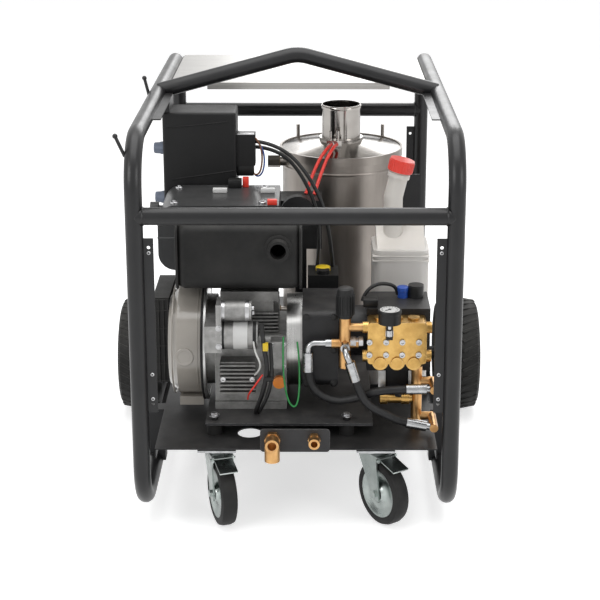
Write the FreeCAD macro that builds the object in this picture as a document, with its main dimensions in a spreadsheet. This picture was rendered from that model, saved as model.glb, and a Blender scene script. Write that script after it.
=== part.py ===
import FreeCAD, Part
import math
import os
import re
import Sketcher
from FreeCAD import Placement, Rotation, Vector

# Hot-water pressure washer on a tubular trolley.
# X runs to the right, Y to the back, Z up, all in millimetres.
# The origin is on the floor, under the middle of the trolley.

# Driving dimensions of the frame and the tray
sizes = {
    "seatGap": 0.3,
    "weldGap": 0.2,
    "tubeRadius": 20,
    "tubeWall": 2.5,
    "loopHalfWidth": 360,
    "loopHalfLength": 600,
    "loopLow": 78,
    "loopHigh": 963,
    "loopBend": 110,
    "drainRadius": 4,
    "crossbarHeight": 797,
    "liftSeat": 4,
    "liftPeak": 1060,
    "liftBend": 95,
    "stripWidth": 22,
    "stripThick": 3,
    "stripLow": 327,
    "stripHigh": 746,
    "stripHole": 4,
    "stripHoleInset": 21.5,
    "railStripWidth": 20,
    "railStripFront": -345,
    "railStripBack": 560,
    "hookRod": 4,
    "hookTip": 6,
    "hookReach": 19,
    "frontHookDrop": 36,
    "frontHookRise": 46,
    "frontHookInset": 29,
    "rearHookAcross": -45,
    "rearHookRise": 45,
    "hangerWidth": 15,
    "trayTop": 220,
    "traySheet": 3,
    "trayHalfWidth": 333,
    "trayHalfLength": 567,
    "trayLip": 25,
    "trayHole": 30,
    "trayHoleAlong": -112,
    "trayHoleAcross": -471,
    "crossWidth": 40,
    "crossDepth": 40,
    "crossFront": -300,
    "crossBack": 440,
    "riserWidth": 30,
    "bracketLeft": -84,
    "bracketRight": 80,
    "bracketThick": 5,
    "bracketLow": 214.5,
    "bracketHigh": 271.5,
    "bracketCorner": 8,
    "panelSheet": 2,
    "panelSide": 2,
    "panelBack": 565,
    "panelShoulder": 160,
    "panelFront": 118,
    "panelTongue": 242,
    "panelLip": 16,
}

# Driving dimensions of the wheels and casters
sizes.update({
    "wheelRadius": 160,
    "wheelAcross": 240,
    "wheelOut": 88,
    "tyreHalf": 60,
    "rimRadius": 76,
    "rimHalf": 47,
    "rimFlange": 10,
    "hubRadius": 28,
    "hubHalf": 45,
    "axleRadius": 12.5,
    "axleRun": 0.08,
    "axleNut": 18,
    "clampHalf": 25,
    "casterAlong": 190,
    "casterAcross": -472,
    "casterHeight": 195,
    "casterPlateWidth": 92,
    "casterPlateLength": 105,
    "casterPlate": 5,
    "casterRadius": 80,
    "casterHalf": 20,
    "casterTrail": 36,
    "casterRace": 32,
    "casterRaceHeight": 12,
    "kingPin": 6,
    "casterBolt": 6,
    "casterRun": 0.08,
    "casterRim": 52,
    "forkSheet": 4,
    "forkClear": 3,
    "forkTop": 38,
    "forkLegWidth": 30,
    "pedalWidth": 45,
    "pedalLength": 65,
    "pedalPin": 3,
    "pedalSheet": 3,
    "pedalDrop": 14,
    "leftSwivel": 18,
    "rightSwivel": 35,
})

# Driving dimensions of the engine
sizes.update({
    "plateLeft": -217,
    "plateRight": 183,
    "plateFront": -500,
    "plateBack": -95,
    "plateThick": 6,
    "mountRadius": 18,
    "mountHeight": 30,
    "mountStud": 5,
    "mountNut": 9,
    "mountNutHeight": 10,
    "mountLeft": -197,
    "mountRight": 121,
    "mountFront": -475,
    "mountBack": -125,
    "studClear": 0.5,
    "crankAcross": -290,
    "crankHeight": 396,
    "crankRadius": 17,
    "shaftRun": 0.08,
    "caseLeft": -218.7,
    "caseRight": -24.3,
    "caseFront": -400,
    "caseBack": -190,
    "caseTop": 440,
    "caseBarrel": 112,
    "footDepth": 18,
    "footOut": 10,
    "caseInset": 20,
    "timingLeft": -62,
    "timingDepth": 38,
    "timingLow": 372,
    "cylinderLeft": -185,
    "cylinderRight": -45,
    "cylinderFront": -372,
    "cylinderBack": -205,
    "finThick": 3,
    "finPitch": 9,
    "finCount": 6,
    "finInset": 12,
    "headFront": -299.7,
    "blowerRadius": 135,
    "blowerLeft": -312,
    "blowerWall": 3,
    "flangeRadius": 150,
    "flangeThick": 12,
    "blowerRound": 45,
    "intakeRadius": 70,
    "flywheelRadius": 112,
    "flywheelThick": 30,
    "flywheelLeft": -290,
    "pinionRadius": 20,
    "gearModule": 2,
    "pinionTeeth": 20,
    "gearTeeth": 44,
    "gearLeft": 30,
    "gearWidth": 20,
    "toothSlack": 0.8,
    "guardLeft": -352,
    "guardRight": -315,
    "guardFront": -345,
    "guardBack": -160,
    "guardLow": 300,
    "guardHigh": 520,
    "guardWall": 3,
    "guardCell": 17,
    "guardBar": 4,
    "mufflerLeft": -288,
    "mufflerRight": 12,
    "mufflerFront": -405,
    "mufflerBack": -300,
    "mufflerLow": 558,
    "mufflerHigh": 720,
    "mufflerRound": 24,
    "mufflerLift": 13,
    "mufflerWall": 2.5,
    "snoutAlong": -43,
    "snoutHeight": 664,
    "snoutRadius": 25.5,
    "snoutBore": 19,
    "snoutOut": 30,
    "tankLeft": -340,
    "tankRight": -44,
    "tankFront": -297,
    "tankBack": -92,
    "tankLow": 576,
    "tankHigh": 740,
    "tankRound": 42,
    "tankWall": 4,
    "capNeck": 15,
    "capRadius": 24,
    "capOut": 6,
    "capThick": 20,
    "capAcross": -200,
    "capHeight": 700,
    "starterAcross": -437,
    "starterHeight": 457,
    "starterRadius": 33,
    "solenoidHeight": 519,
    "solenoidRadius": 24,
    "starterLeft": -190,
    "starterFlange": 12,
    "starterRight": -92,
    "regulatorLeft": -184,
    "regulatorRight": -98,
    "regulatorLow": 310,
    "regulatorHigh": 390,
    "regulatorFront": -455,
    "regulatorFin": 28,
    "regulatorFins": 8,
    "regulatorFinThick": 4,
    "dipAlong": -42,
    "dipHeight": 335,
    "dipBoss": 13,
    "dipBossOut": 24,
    "dipRadius": 4,
    "dipRun": 0.3,
    "dipLength": 90,
    "dipKnob": 15,
    "dipKnobThick": 14,
})

# Driving dimensions of the drive and the pump
sizes.update({
    "driveFlange": 115,
    "driveRight": 13,
    "boxLeft": 14,
    "boxRight": 100,
    "boxFront": -432,
    "boxBack": -225,
    "boxLow": 322,
    "boxHigh": 512,
    "boxWall": 8,
    "boxRound": 20,
    "pumpOffset": 50,
    "pumpRise": 40,
    "pumpShaft": 14,
    "pumpNeck": 62,
    "pumpCaseLeft": 170,
    "pumpCaseRight": 322,
    "pumpCaseFront": -410,
    "pumpCaseBack": -262,
    "pumpCaseHigh": 79,
    "pumpRound": 18,
    "pumpLegWidth": 15,
    "pumpLegFront": -408,
    "pumpLegDepth": 20,
    "pumpLegLow": 296,
    "manifoldMiddle": 240,
    "manifoldHalf": 70,
    "manifoldFront": -470,
    "manifoldLow": 396,
    "manifoldHigh": 500,
    "manifoldRound": 8,
    "plungerPitch": 40,
    "lowValveHeight": 400,
    "lowValveRadius": 19,
    "highValveAcross": -440,
    "valveCapRadius": 14,
    "valveCapOut": 5,
    "portHigh": 484,
    "portLow": 412,
    "portRadius": 14,
    "portOut": 12,
    "gaugeAlong": 220.6,
    "gaugeLow": 503,
    "gaugeHigh": 536,
    "gaugeRadius": 27,
    "gaugeStem": 16,
    "gaugeStemDepth": 14,
    "gaugeStemLow": 462,
    "unloaderAlong": 116,
    "unloaderAcross": -455,
    "unloaderRadius": 14,
    "unloaderLow": 383,
    "unloaderHigh": 508,
    "unloaderPort": 443,
    "unloaderPortRadius": 11,
    "unloaderPortOut": 32,
    "unloaderFrontOut": 24,
    "nippleRadius": 10,
    "knobRadius": 23,
    "knobHeight": 76,
    "knobStem": 6,
    "knobStemDepth": 15,
    "hoseRadius": 10,
    "hoseBore": 6.5,
    "ferruleRadius": 12.5,
    "ferruleLength": 42,
    "elbowAlong": 28.4,
    "pipeRadius": 7.5,
    "columnAlong": 290,
    "columnAcross": -440,
    "columnRadius": 13,
    "columnArm": 10,
    "columnArmAlong": 328,
    "upperHoseEnd": 343,
    "upperHoseAcross": -497,
    "lowerHoseEnd": 252,
    "lowerHoseAcross": -510,
    "frontHoseAcross": -516,
})

# Driving dimensions of the connections, the boiler and the controls
sizes.update({
    "inletAlong": -55,
    "inletHeight": 249,
    "inletRadius": 16,
    "inletBore": 10.5,
    "inletHex": 19,
    "inletDrop": 34,
    "inletBowl": 18,
    "outletAlong": 43,
    "outletHeight": 249,
    "outletRadius": 13,
    "outletBore": 8,
    "outletHex": 15,
    "connectHex": 14,
    "inletOut": 48,
    "outletOut": 36,
    "boreDepth": 34,
    "boilerAlong": 116,
    "boilerAcross": 250,
    "boilerRadius": 162,
    "boilerWall": 2,
    "boilerFloor": 240,
    "boilerTop": 750,
    "skirtRadius": 130,
    "lidRadius": 164,
    "lidTop": 783,
    "lidSheet": 3,
    "chimneyRadius": 53,
    "chimneyWall": 1.5,
    "chimneyTop": 884,
    "collarRadius": 60,
    "collarHeight": 10,
    "bandRadius": 170,
    "bandLow": 745.5,
    "bandHigh": 768,
    "bandBolt": 5,
    "bandBoltTop": 800,
    "bandBoltAngle": 46,
    "coilOuter": 132,
    "coilTube": 10,
    "coilSleeve": 12,
    "coilTurns": 12,
    "coilPitch": 36,
    "coilLow": 301,
    "coilEndAcross": 200,
    "coilOut": -52.5,
    "coilNut": 32.5,
    "coilNutRadius": 17,
    "electrodeAlong": 96,
    "electrodeAcross": 170,
    "electrodeWidth": 40,
    "electrodeDepth": 28,
    "electrodeTop": 800,
    "electrodePin": 4,
    "electrodePinHeight": 24,
    "burnerLeft": -48,
    "burnerRight": 62,
    "burnerFront": -60,
    "burnerBack": 40,
    "burnerLow": 560,
    "drumRadius": 45,
    "drumAlong": 0,
    "drumHeight": 663,
    "drumFront": -88,
    "burnerHigh": 690,
    "burnerPost": 30,
    "fuelLeft": 26,
    "fuelRight": 104,
    "fuelFront": -170,
    "fuelBack": -80,
    "fuelLow": 380,
    "fuelHigh": 522,
    "fuelNeck": 17,
    "fuelNeckHeight": 10,
    "controlLeft": -344,
    "controlRight": -157,
    "controlFront": -80,
    "controlBack": 35,
    "controlLow": 640,
    "controlHigh": 925,
    "controlRound": 6,
    "controlSeam": 26,
    "dialRadius": 16,
    "dialOut": 28,
    "dialStem": 4,
    "dialStemIn": 12,
    "dialAcross": -25,
    "upperDial": 822,
    "lowerDial": 691,
    "moduleRight": -109,
    "moduleLow": 785,
    "moduleHigh": 866,
    "moduleDepth": 42,
    "bottleLeft": 190,
    "bottleRight": 331,
    "bottleFront": -221,
    "bottleBack": -81,
    "bottleLow": 226,
    "bottleShoulder": 603,
    "bottleTop": 645,
    "shoulderInset": 9,
    "shoulderFront": -135,
    "bottleRound": 22,
    "bottleWall": 3,
    "neckFoot": 242,
    "neckTop": 262,
    "neckAcross": -150,
    "neckRadius": 24,
    "neckHigh": 811,
    "neckBend": 725,
    "neckRingRadius": 28,
    "neckRing": 20,
    "capLean": 8,
    "bottleCap": 31,
    "bottleCapHeight": 31,
    "cradleSheet": 4,
    "cradleMargin": 4,
    "strapLeft": 268,
    "strapRight": 313,
    "strapTop": 765,
    "cableRadius": 4.5,
    "controlCable": 5,
})

doc = FreeCAD.newDocument("PressureWasher")
sheet = doc.addObject("Spreadsheet::Sheet", "Dims")
for row, (name, amount) in enumerate(sizes.items(), 1):
    sheet.set("A%d" % row, name)
    sheet.set("B%d" % row, str(amount))
    sheet.setAlias("B%d" % row, name)
doc.recompute()

nodes = []
upright = Rotation()
alongX = Rotation(Vector(0, 1, 0), 90)
towardsFront = Rotation(Vector(1, 0, 0), 90)
towardsBack = Rotation(Vector(1, 0, 0), -90)
towardsLeft = Rotation(Vector(0, 1, 0), -90)


# Helpers that tie a size or a place to the sheet
def linked(text):
    return re.sub(r"[A-Za-z_]\w*", lambda word: "Dims." + word[0] if word[0] in sizes else word[0], str(text))


def value(text):
    found = sheet.evalExpression(linked(text))
    return float(getattr(found, "Value", found))


def bind(item, path, text):
    item.setExpression(path, linked(text))


def place(item, at, turn=upright):
    item.Placement = Placement(Vector(*[value(text) for text in at]), turn)
    for axis, text in zip("xyz", at):
        bind(item, "Placement.Base." + axis, text)
    return item


def keep(item, label):
    item.Label = label
    nodes.append(item)
    return item


# Simple solids
def block(label, low, high):
    item = doc.addObject("Part::Box", label)
    for side, start, end in zip(("Length", "Width", "Height"), low, high):
        bind(item, side, "(%s) - (%s)" % (end, start))
    return place(item, low)


def rod(label, radius, length, at, turn=upright):
    item = doc.addObject("Part::Cylinder", label)
    bind(item, "Radius", radius)
    bind(item, "Height", length)
    return place(item, at, turn)


def cone(label, foot, top, length, at, turn=upright):
    item = doc.addObject("Part::Cone", label)
    bind(item, "Radius1", foot)
    bind(item, "Radius2", top)
    bind(item, "Height", length)
    return place(item, at, turn)


def hexagon(label, radius, length, at, turn=upright):
    item = doc.addObject("Part::Prism", label)
    item.Polygon = 6
    bind(item, "Circumradius", radius)
    bind(item, "Height", length)
    return place(item, at, turn)


def ball(label, radius, at):
    item = doc.addObject("Part::Sphere", label)
    bind(item, "Radius", radius)
    return place(item, at)


def fused(label, parts):
    item = doc.addObject("Part::MultiFuse", label)
    item.Shapes = parts
    item.Refine = True
    return item


def grouped(label, parts):
    item = doc.addObject("Part::Compound", label)
    item.Links = parts
    return item


def cut(label, base, tools):
    item = doc.addObject("Part::Cut", label)
    item.Base = base
    item.Tool = tools[0] if len(tools) == 1 else grouped(label + "Tools", tools)
    return item


def rounded(label, base, radius, chosen):
    doc.recompute()
    item = doc.addObject("Part::Fillet", label)
    item.Base = base
    size = value(radius)
    edges = base.Shape.Edges
    item.Edges = [(number + 1, size, size) for number, edge in enumerate(edges) if chosen(edge)]
    return item


def runs(edge, axis):
    start, end = edge.firstVertex().Point, edge.lastVertex().Point
    step = end - start
    return edge.Curve.TypeId == "Part::GeomLine" and abs(step[axis]) > 0.99 * step.Length


# Sketches whose corners are tied to the sheet
def drive(sketch, kind, first, second, text):
    number = sketch.addConstraint(Sketcher.Constraint(kind, *first, *second, value(text)))
    sketch.setExpression("Constraints[%d]" % number, linked(text))


def drive_radius(sketch, number, text):
    index = sketch.addConstraint(Sketcher.Constraint("Radius", number, value(text)))
    sketch.setExpression("Constraints[%d]" % index, linked(text))


def polygon(sketch, points):
    flat = [Vector(value(x), value(y), 0) for x, y in points]
    count = len(points)
    for number in range(count):
        sketch.addGeometry(Part.LineSegment(flat[number], flat[(number + 1) % count]), False)
    for number in range(count):
        sketch.addConstraint(Sketcher.Constraint("Coincident", number, 2, (number + 1) % count, 1))
    for number, (x, y) in enumerate(points):
        drive(sketch, "DistanceX", (-1, 1), (number, 1), x)
        drive(sketch, "DistanceY", (-1, 1), (number, 1), y)


def sketch_in(body, label, role):
    sketch = body.newObject("Sketcher::SketchObject", label + "Profile")
    plane = next(item for item in body.Origin.OriginFeatures if item.Role == role)
    sketch.AttachmentSupport = [(plane, "")]
    sketch.MapMode = "FlatFace"
    return sketch


def lathe(label, profile, at, turn=upright):
    body = doc.addObject("PartDesign::Body", label)
    sketch = sketch_in(body, label, "XZ_Plane")
    polygon(sketch, profile)
    turned = body.newObject("PartDesign::Revolution", label + "Turned")
    turned.Profile = sketch
    turned.ReferenceAxis = (sketch, ["V_Axis"])
    turned.Angle = 360
    return place(body, at, turn)


def plate(label, outline, thickness, at, turn=upright):
    body = doc.addObject("PartDesign::Body", label)
    sketch = sketch_in(body, label, "XY_Plane")
    polygon(sketch, outline)
    pad = body.newObject("PartDesign::Pad", label + "Pad")
    pad.Profile = sketch
    bind(pad, "Length", thickness)
    return place(body, at, turn)


def circle_section(label, radius, at, turn):
    sketch = doc.addObject("Sketcher::SketchObject", label)
    sketch.addGeometry(Part.Circle(Vector(0, 0, 0), Vector(0, 0, 1), value(radius)), False)
    sketch.addConstraint(Sketcher.Constraint("Coincident", 0, 3, -1, 1))
    drive_radius(sketch, 0, radius)
    return place(sketch, at, turn)


def swept(label, path, radius, at, turn):
    item = doc.addObject("Part::Sweep", label)
    item.Sections = [circle_section(label + "Section", radius, at, turn)]
    item.Spine = (path, ["Edge%d" % (number + 1) for number in range(len(path.Shape.Edges))])
    item.Solid = True
    return item


# A path of straight runs joined by tangent arcs, and the cord or hose along it
def cord_path(label, points):
    corners = [Vector(*point) for point in points]
    edges = []
    radii = []
    last = corners[0]
    for before, corner, after in zip(corners, corners[1:], corners[2:]):
        into = corner - before
        out = after - corner
        half = into.getAngle(out) / 2
        reach = 0.45 * min(into.Length, out.Length)
        radii.append(reach / math.tan(half))
        start = corner - into.normalize() * reach
        end = corner + out.normalize() * reach
        bisector = (out - into).normalize()
        middle = corner + bisector * (radii[-1] / math.cos(half) - radii[-1])
        edges.append(Part.LineSegment(last, start).toShape())
        edges.append(Part.Arc(start, middle, end).toShape())
        last = end
    edges.append(Part.LineSegment(last, corners[-1]).toShape())
    path = Part.Wire(edges)
    print("%s: length %.0f mm, tightest bend %.0f mm" % (label, path.Length, min(radii)))
    return path


def cord_solid(label, points, radius, bore=0):
    path = cord_path(label, points)
    start = Vector(*points[0])
    heading = Vector(*points[1]) - start

    def along(section):
        ring = Part.Wire([Part.makeCircle(section, start, heading)])
        return path.makePipeShell([ring], True, False)

    solid = along(radius)
    expected = math.pi * radius ** 2 * path.Length
    print("%s: volume over section times length %.4f" % (label, solid.Volume / expected))
    if bore:
        solid = solid.cut(along(bore))
    return solid


def cords(label, solids):
    item = doc.addObject("Part::Feature", label)
    item.Shape = solids[0] if len(solids) == 1 else Part.makeCompound(solids)
    return keep(item, label)


# Side loops: a bent tube each, with the strips and hooks that are welded to it
def loop_path(label, along):
    sketch = doc.addObject("Sketcher::SketchObject", label)
    length, low, high, bend = [value(word) for word in ("loopHalfLength", "loopLow", "loopHigh", "loopBend")]

    def arc(across, up, start):
        circle = Part.Circle(Vector(across, up, 0), Vector(0, 0, 1), bend)
        return Part.ArcOfCircle(circle, math.radians(start), math.radians(start + 90))

    def line(start, end):
        return Part.LineSegment(Vector(*start, 0), Vector(*end, 0))

    sketch.addGeometry(line((bend - length, low), (length - bend, low)), False)
    sketch.addGeometry(arc(length - bend, low + bend, 270), False)
    sketch.addGeometry(line((length, low + bend), (length, high - bend)), False)
    sketch.addGeometry(arc(length - bend, high - bend, 0), False)
    sketch.addGeometry(line((length - bend, high), (bend - length, high)), False)
    sketch.addGeometry(arc(bend - length, high - bend, 90), False)
    sketch.addGeometry(line((-length, high - bend), (-length, low + bend)), False)
    sketch.addGeometry(arc(bend - length, low + bend, 180), False)
    for number in range(8):
        sketch.addConstraint(Sketcher.Constraint("Tangent", number, 2, (number + 1) % 8, 1))
    for number in (0, 4):
        sketch.addConstraint(Sketcher.Constraint("Horizontal", number))
    for number in (2, 6):
        sketch.addConstraint(Sketcher.Constraint("Vertical", number))
    for number in (3, 5, 7):
        sketch.addConstraint(Sketcher.Constraint("Equal", 1, number))
    drive_radius(sketch, 1, "loopBend")
    drive(sketch, "DistanceY", (-1, 1), (0, 1), "loopLow")
    drive(sketch, "DistanceY", (-1, 1), (4, 1), "loopHigh")
    drive(sketch, "DistanceX", (-1, 1), (2, 1), "loopHalfLength")
    drive(sketch, "DistanceX", (-1, 1), (6, 1), "-loopHalfLength")
    place(sketch, (along, "0", "0"), Rotation(Vector(1, 1, 1), 120))
    doc.recompute()
    return sketch


def mirrored_block(label, sign, inner, outer, low, high):
    # inner and outer are distances from the middle plane
    start, end = (inner, outer) if sign > 0 else ("-(%s)" % outer, "-(%s)" % inner)
    return block(label, (start,) + low, (end,) + high)


def post_strip(label, sign, across):
    inner = "loopHalfWidth - tubeRadius - stripWidth"
    strip = mirrored_block(label, sign, inner, "loopHalfWidth - tubeRadius + tubeWall / 2",
                           ("%s - stripThick / 2" % across, "stripLow"),
                           ("%s + stripThick / 2" % across, "stripHigh"))
    hole_along = "%d * (loopHalfWidth - tubeRadius - stripWidth / 2)" % sign
    holes = [rod(label + name, "stripHole", "stripThick * 3", (hole_along, "%s + stripThick * 1.5" % across, up),
                 towardsFront)
             for name, up in (("LowHole", "stripLow + stripHoleInset"), ("HighHole", "stripHigh - stripHoleInset"))]
    return cut(label + "Drilled", strip, holes)


def lance_hook(label, foot, tip, across):
    # a bent rod from its foot on the tube to a ball at its tip
    start = Vector(value(foot[0]), value(across), value(foot[1]))
    end = Vector(value(tip[0]), value(across), value(tip[1]))
    turn = Rotation(Vector(0, 0, 1), end - start)
    stem = doc.addObject("Part::Cylinder", label)
    bind(stem, "Radius", "hookRod")
    rise = "((%s) - (%s))" % (tip[1], foot[1])
    reach = "((%s) - (%s))" % (tip[0], foot[0])
    bind(stem, "Height", "sqrt(%s * %s + %s * %s)" % (rise, rise, reach, reach))
    place(stem, (foot[0], across, foot[1]), turn)
    return [stem, ball(label + "Tip", "hookTip", (tip[0], across, tip[1]))]


# Middle line of the lifting bar: two straight arms and a rounded peak
def lift_line(label):
    sketch = doc.addObject("Sketcher::SketchObject", label)
    width, end, peak, bend = [value(text) for text in
                              ("loopHalfWidth - tubeWall", "loopHigh + liftSeat", "liftPeak", "liftBend")]
    centre = Vector(0, peak - bend, 0)
    reach = math.hypot(width, centre.y - end)
    # angle of the tangent point, seen from the centre of the bend
    lean = math.atan2(end - centre.y, -width) - math.acos(bend / reach)
    lean = lean % (2 * math.pi)
    touch = centre + Vector(bend * math.cos(lean), bend * math.sin(lean), 0)
    mirrored = Vector(-touch.x, touch.y, 0)
    circle = Part.Circle(centre, Vector(0, 0, 1), bend)
    sketch.addGeometry(Part.LineSegment(Vector(-width, end, 0), touch), False)
    sketch.addGeometry(Part.ArcOfCircle(circle, math.pi - lean, lean), False)
    sketch.addGeometry(Part.LineSegment(mirrored, Vector(width, end, 0)), False)
    sketch.addConstraint(Sketcher.Constraint("Tangent", 0, 2, 1, 2))
    sketch.addConstraint(Sketcher.Constraint("Tangent", 1, 1, 2, 1))
    drive(sketch, "DistanceX", (-1, 1), (0, 1), "tubeWall - loopHalfWidth")
    drive(sketch, "DistanceY", (-1, 1), (0, 1), "loopHigh + liftSeat")
    drive(sketch, "DistanceX", (-1, 1), (2, 2), "loopHalfWidth - tubeWall")
    drive(sketch, "DistanceY", (-1, 1), (2, 2), "loopHigh + liftSeat")
    drive(sketch, "DistanceY", (-1, 1), (1, 3), "liftPeak - liftBend")
    drive_radius(sketch, 1, "liftBend")
    place(sketch, ("0", "0", "0"), towardsFront)
    doc.recompute()
    slope = touch - Vector(-width, end, 0)
    heading = Rotation(Vector(0, 0, 1), Vector(slope.x, 0, slope.y))
    start = ("tubeWall - loopHalfWidth", "0", "loopHigh + liftSeat")
    return sketch, start, heading


def lift_space(label):
    path, start, heading = lift_line(label + "Path")
    return swept(label, path, "tubeRadius + weldGap", start, heading)


def side_frame(label, sign):
    along = "%d * loopHalfWidth" % sign
    path = loop_path(label + "Path", along)
    start = (along, "0", "loopLow")
    outer = swept(label + "Outer", path, "tubeRadius", start, towardsFront)
    inner = swept(label + "Inner", path, "tubeRadius - tubeWall", start, towardsFront)
    drain = rod(label + "Drain", "drainRadius", "tubeWall * 3", (along, "0", "loopLow - tubeRadius - tubeWall"))
    welded = [cut(label + "Tube", outer, [inner, drain])]
    welded.append(post_strip(label + "FrontStrip", sign, "-loopHalfLength"))
    welded.append(post_strip(label + "RearStrip", sign, "loopHalfLength"))
    notched = [mirrored_block(label + "RailStrip", sign, "loopHalfWidth - tubeRadius - railStripWidth",
                              "loopHalfWidth - tubeRadius + tubeWall / 2",
                              ("railStripFront", "loopHigh - stripThick / 2"),
                              ("railStripBack", "loopHigh + stripThick / 2"))]
    if sign < 0:
        edge = "-loopHalfWidth - tubeRadius"
        front_foot = ("%s + tubeWall / 2" % edge, "loopHigh - frontHookDrop")
        front_tip = ("%s - hookReach" % edge, "loopHigh - frontHookDrop + frontHookRise")
        rear_foot = ("%s + tubeWall / 2" % edge, "loopHigh")
        rear_tip = ("%s - hookReach / 2" % edge, "loopHigh + rearHookRise")
        welded += lance_hook(label + "FrontHook", front_foot, front_tip, "(frontHookInset - loopHalfLength)")
        welded += lance_hook(label + "RearHook", rear_foot, rear_tip, "rearHookAcross")
        # the hanger that carries the control box
        left = "-loopHalfWidth + tubeRadius + weldGap"
        notched.append(block(label + "Hanger", (left, "controlFront + controlRound", "controlHigh + seatGap"),
                             (left + " + hangerWidth", "controlBack - controlRound", "loopHigh")))
    inside = notched[0] if len(notched) == 1 else fused(label + "Notched", notched)
    welded.append(cut(label + "Inside", inside, [lift_space(label + "LiftSpace")]))
    return keep(fused(label, welded), label)


side_frame("left_side_frame", -1)
side_frame("right_side_frame", 1)


# Cross tubes, coped around the posts
def post_space(label, sign, across):
    return rod(label, "tubeRadius + weldGap", "loopHigh - loopLow",
               ("%d * loopHalfWidth" % sign, across, "loopLow"))


def rail_space(label, sign, up):
    return rod(label, "tubeRadius + weldGap", "loopHalfLength * 2",
               ("%d * loopHalfWidth" % sign, "-loopHalfLength", up), towardsBack)


def crossbar(label, across):
    start = ("-loopHalfWidth", across, "crossbarHeight")
    outer = rod(label + "Outer", "tubeRadius", "loopHalfWidth * 2", start, alongX)
    inner = rod(label + "Inner", "tubeRadius - tubeWall", "loopHalfWidth * 2", start, alongX)
    ends = [post_space(label + "LeftPost", -1, across), post_space(label + "RightPost", 1, across)]
    return keep(cut(label, outer, [inner] + ends), label)


crossbar("front_crossbar", "-loopHalfLength")
crossbar("rear_crossbar", "loopHalfLength")


# Lifting bar, coped onto the top rails
def lifting_bar():
    path, start, heading = lift_line("liftPath")
    outer = swept("liftOuter", path, "tubeRadius", start, heading)
    inner = swept("liftInner", path, "tubeRadius - tubeWall", start, heading)
    rails = [rail_space("liftLeftRail", -1, "loopHigh"), rail_space("liftRightRail", 1, "loopHigh")]
    return keep(cut("lifting_bar", outer, [inner] + rails), "lifting_bar")


lifting_bar()


# Tray: a folded sheet with the caster seats under its front corners
def base_tray():
    side, lip, sheet_low = "trayHalfWidth", "trayTop - trayLip", "trayTop - traySheet"
    half = [("-%s" % side, lip), ("-%s" % side, "trayTop"), (side, "trayTop"), (side, lip),
            ("%s - traySheet" % side, lip), ("%s - traySheet" % side, sheet_low),
            ("traySheet - %s" % side, sheet_low), ("traySheet - %s" % side, lip)]
    folded = plate("traySheetMetal", half, "trayHalfLength * 2", ("0", "trayHalfLength", "0"), towardsFront)
    hole = rod("trayRoundHole", "trayHole", "traySheet * 3", ("trayHoleAlong", "trayHoleAcross", sheet_low + " - 1"))
    parts = [cut("trayDrilled", folded, [hole])]
    for sign, hand in ((-1, "Left"), (1, "Right")):
        parts.append(block("casterSeat" + hand,
                           ("%d * casterAlong - casterPlateWidth / 2" % sign, "casterAcross - casterPlateLength / 2",
                            "casterHeight"),
                           ("%d * casterAlong + casterPlateWidth / 2" % sign, "casterAcross + casterPlateLength / 2",
                            sheet_low)))
    keep(fused("base_tray", parts), "base_tray")


# Cross members under the tray, notched round its lips, each with a riser at both ends coped onto the lower rail
def cross_member(name, across):
    top = "trayTop - traySheet - weldGap"
    near, far = "%s - crossWidth / 2" % across, "%s + crossWidth / 2" % across
    parts = [block("cross" + name, ("-loopHalfWidth", near, top + " - crossDepth"), ("loopHalfWidth", far, top))]
    for sign, hand in ((-1, "Left"), (1, "Right")):
        parts.append(mirrored_block("riser" + name + hand, sign, "trayHalfWidth + weldGap",
                                    "loopHalfWidth + riserWidth / 2", (near, "loopLow"), (far, top)))
    spaces = [rail_space("riser%sLeftRail" % name, -1, "loopLow"), rail_space("riser%sRightRail" % name, 1, "loopLow")]
    for sign, hand in ((-1, "Left"), (1, "Right")):
        spaces.append(mirrored_block("lipNotch" + name + hand, sign, "trayHalfWidth - traySheet - weldGap",
                                     "trayHalfWidth + weldGap",
                                     (near + " - crossWidth", "trayTop - trayLip - weldGap"),
                                     (far + " + crossWidth", top + " + traySheet")))
    label = name.lower() + "_cross_member"
    keep(cut(label, fused("crossWelded" + name, parts), spaces), label)


# Bracket plate of the two quick connections, on the front edge of the tray
def outlet_bracket():
    bracket = block("bracketPlate", ("bracketLeft", "-trayHalfLength - weldGap - bracketThick", "bracketLow"),
                    ("bracketRight", "-trayHalfLength - weldGap", "bracketHigh"))
    plate_part = rounded("bracketRounded", bracket, "bracketCorner", lambda edge: runs(edge, 1))
    holes = []
    for name, along, up, radius in (("Inlet", "inletAlong", "inletHeight", "inletBore"),
                                    ("Outlet", "outletAlong", "outletHeight", "outletBore")):
        holes.append(rod("bracket%sHole" % name, radius, "bracketThick * 3",
                         (along, "bracketThick - trayHalfLength", up), towardsFront))
    keep(cut("outlet_bracket", plate_part, holes), "outlet_bracket")


base_tray()
cross_member("Front", "crossFront")
cross_member("Rear", "crossBack")
outlet_bracket()


# Top panel: stainless sheet on the rail strips, with a folded front lip
def top_panel():
    wide = "(loopHalfWidth - tubeRadius - panelSide)"
    outline = [("-" + wide, "panelShoulder"), ("-panelTongue", "panelShoulder"), ("-panelTongue", "panelFront"),
               ("panelTongue", "panelFront"), ("panelTongue", "panelShoulder"), (wide, "panelShoulder"),
               (wide, "panelBack"), ("-" + wide, "panelBack")]
    seat = "loopHigh + stripThick / 2"
    flat = plate("panelFlat", outline, "panelSheet", ("0", "0", seat))
    lip = block("panelLipFold", ("-panelTongue", "panelFront", seat + " - panelLip"),
                ("panelTongue", "panelFront + panelSheet", seat))
    keep(fused("top_panel", [flat, lip]), "top_panel")


top_panel()


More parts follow.
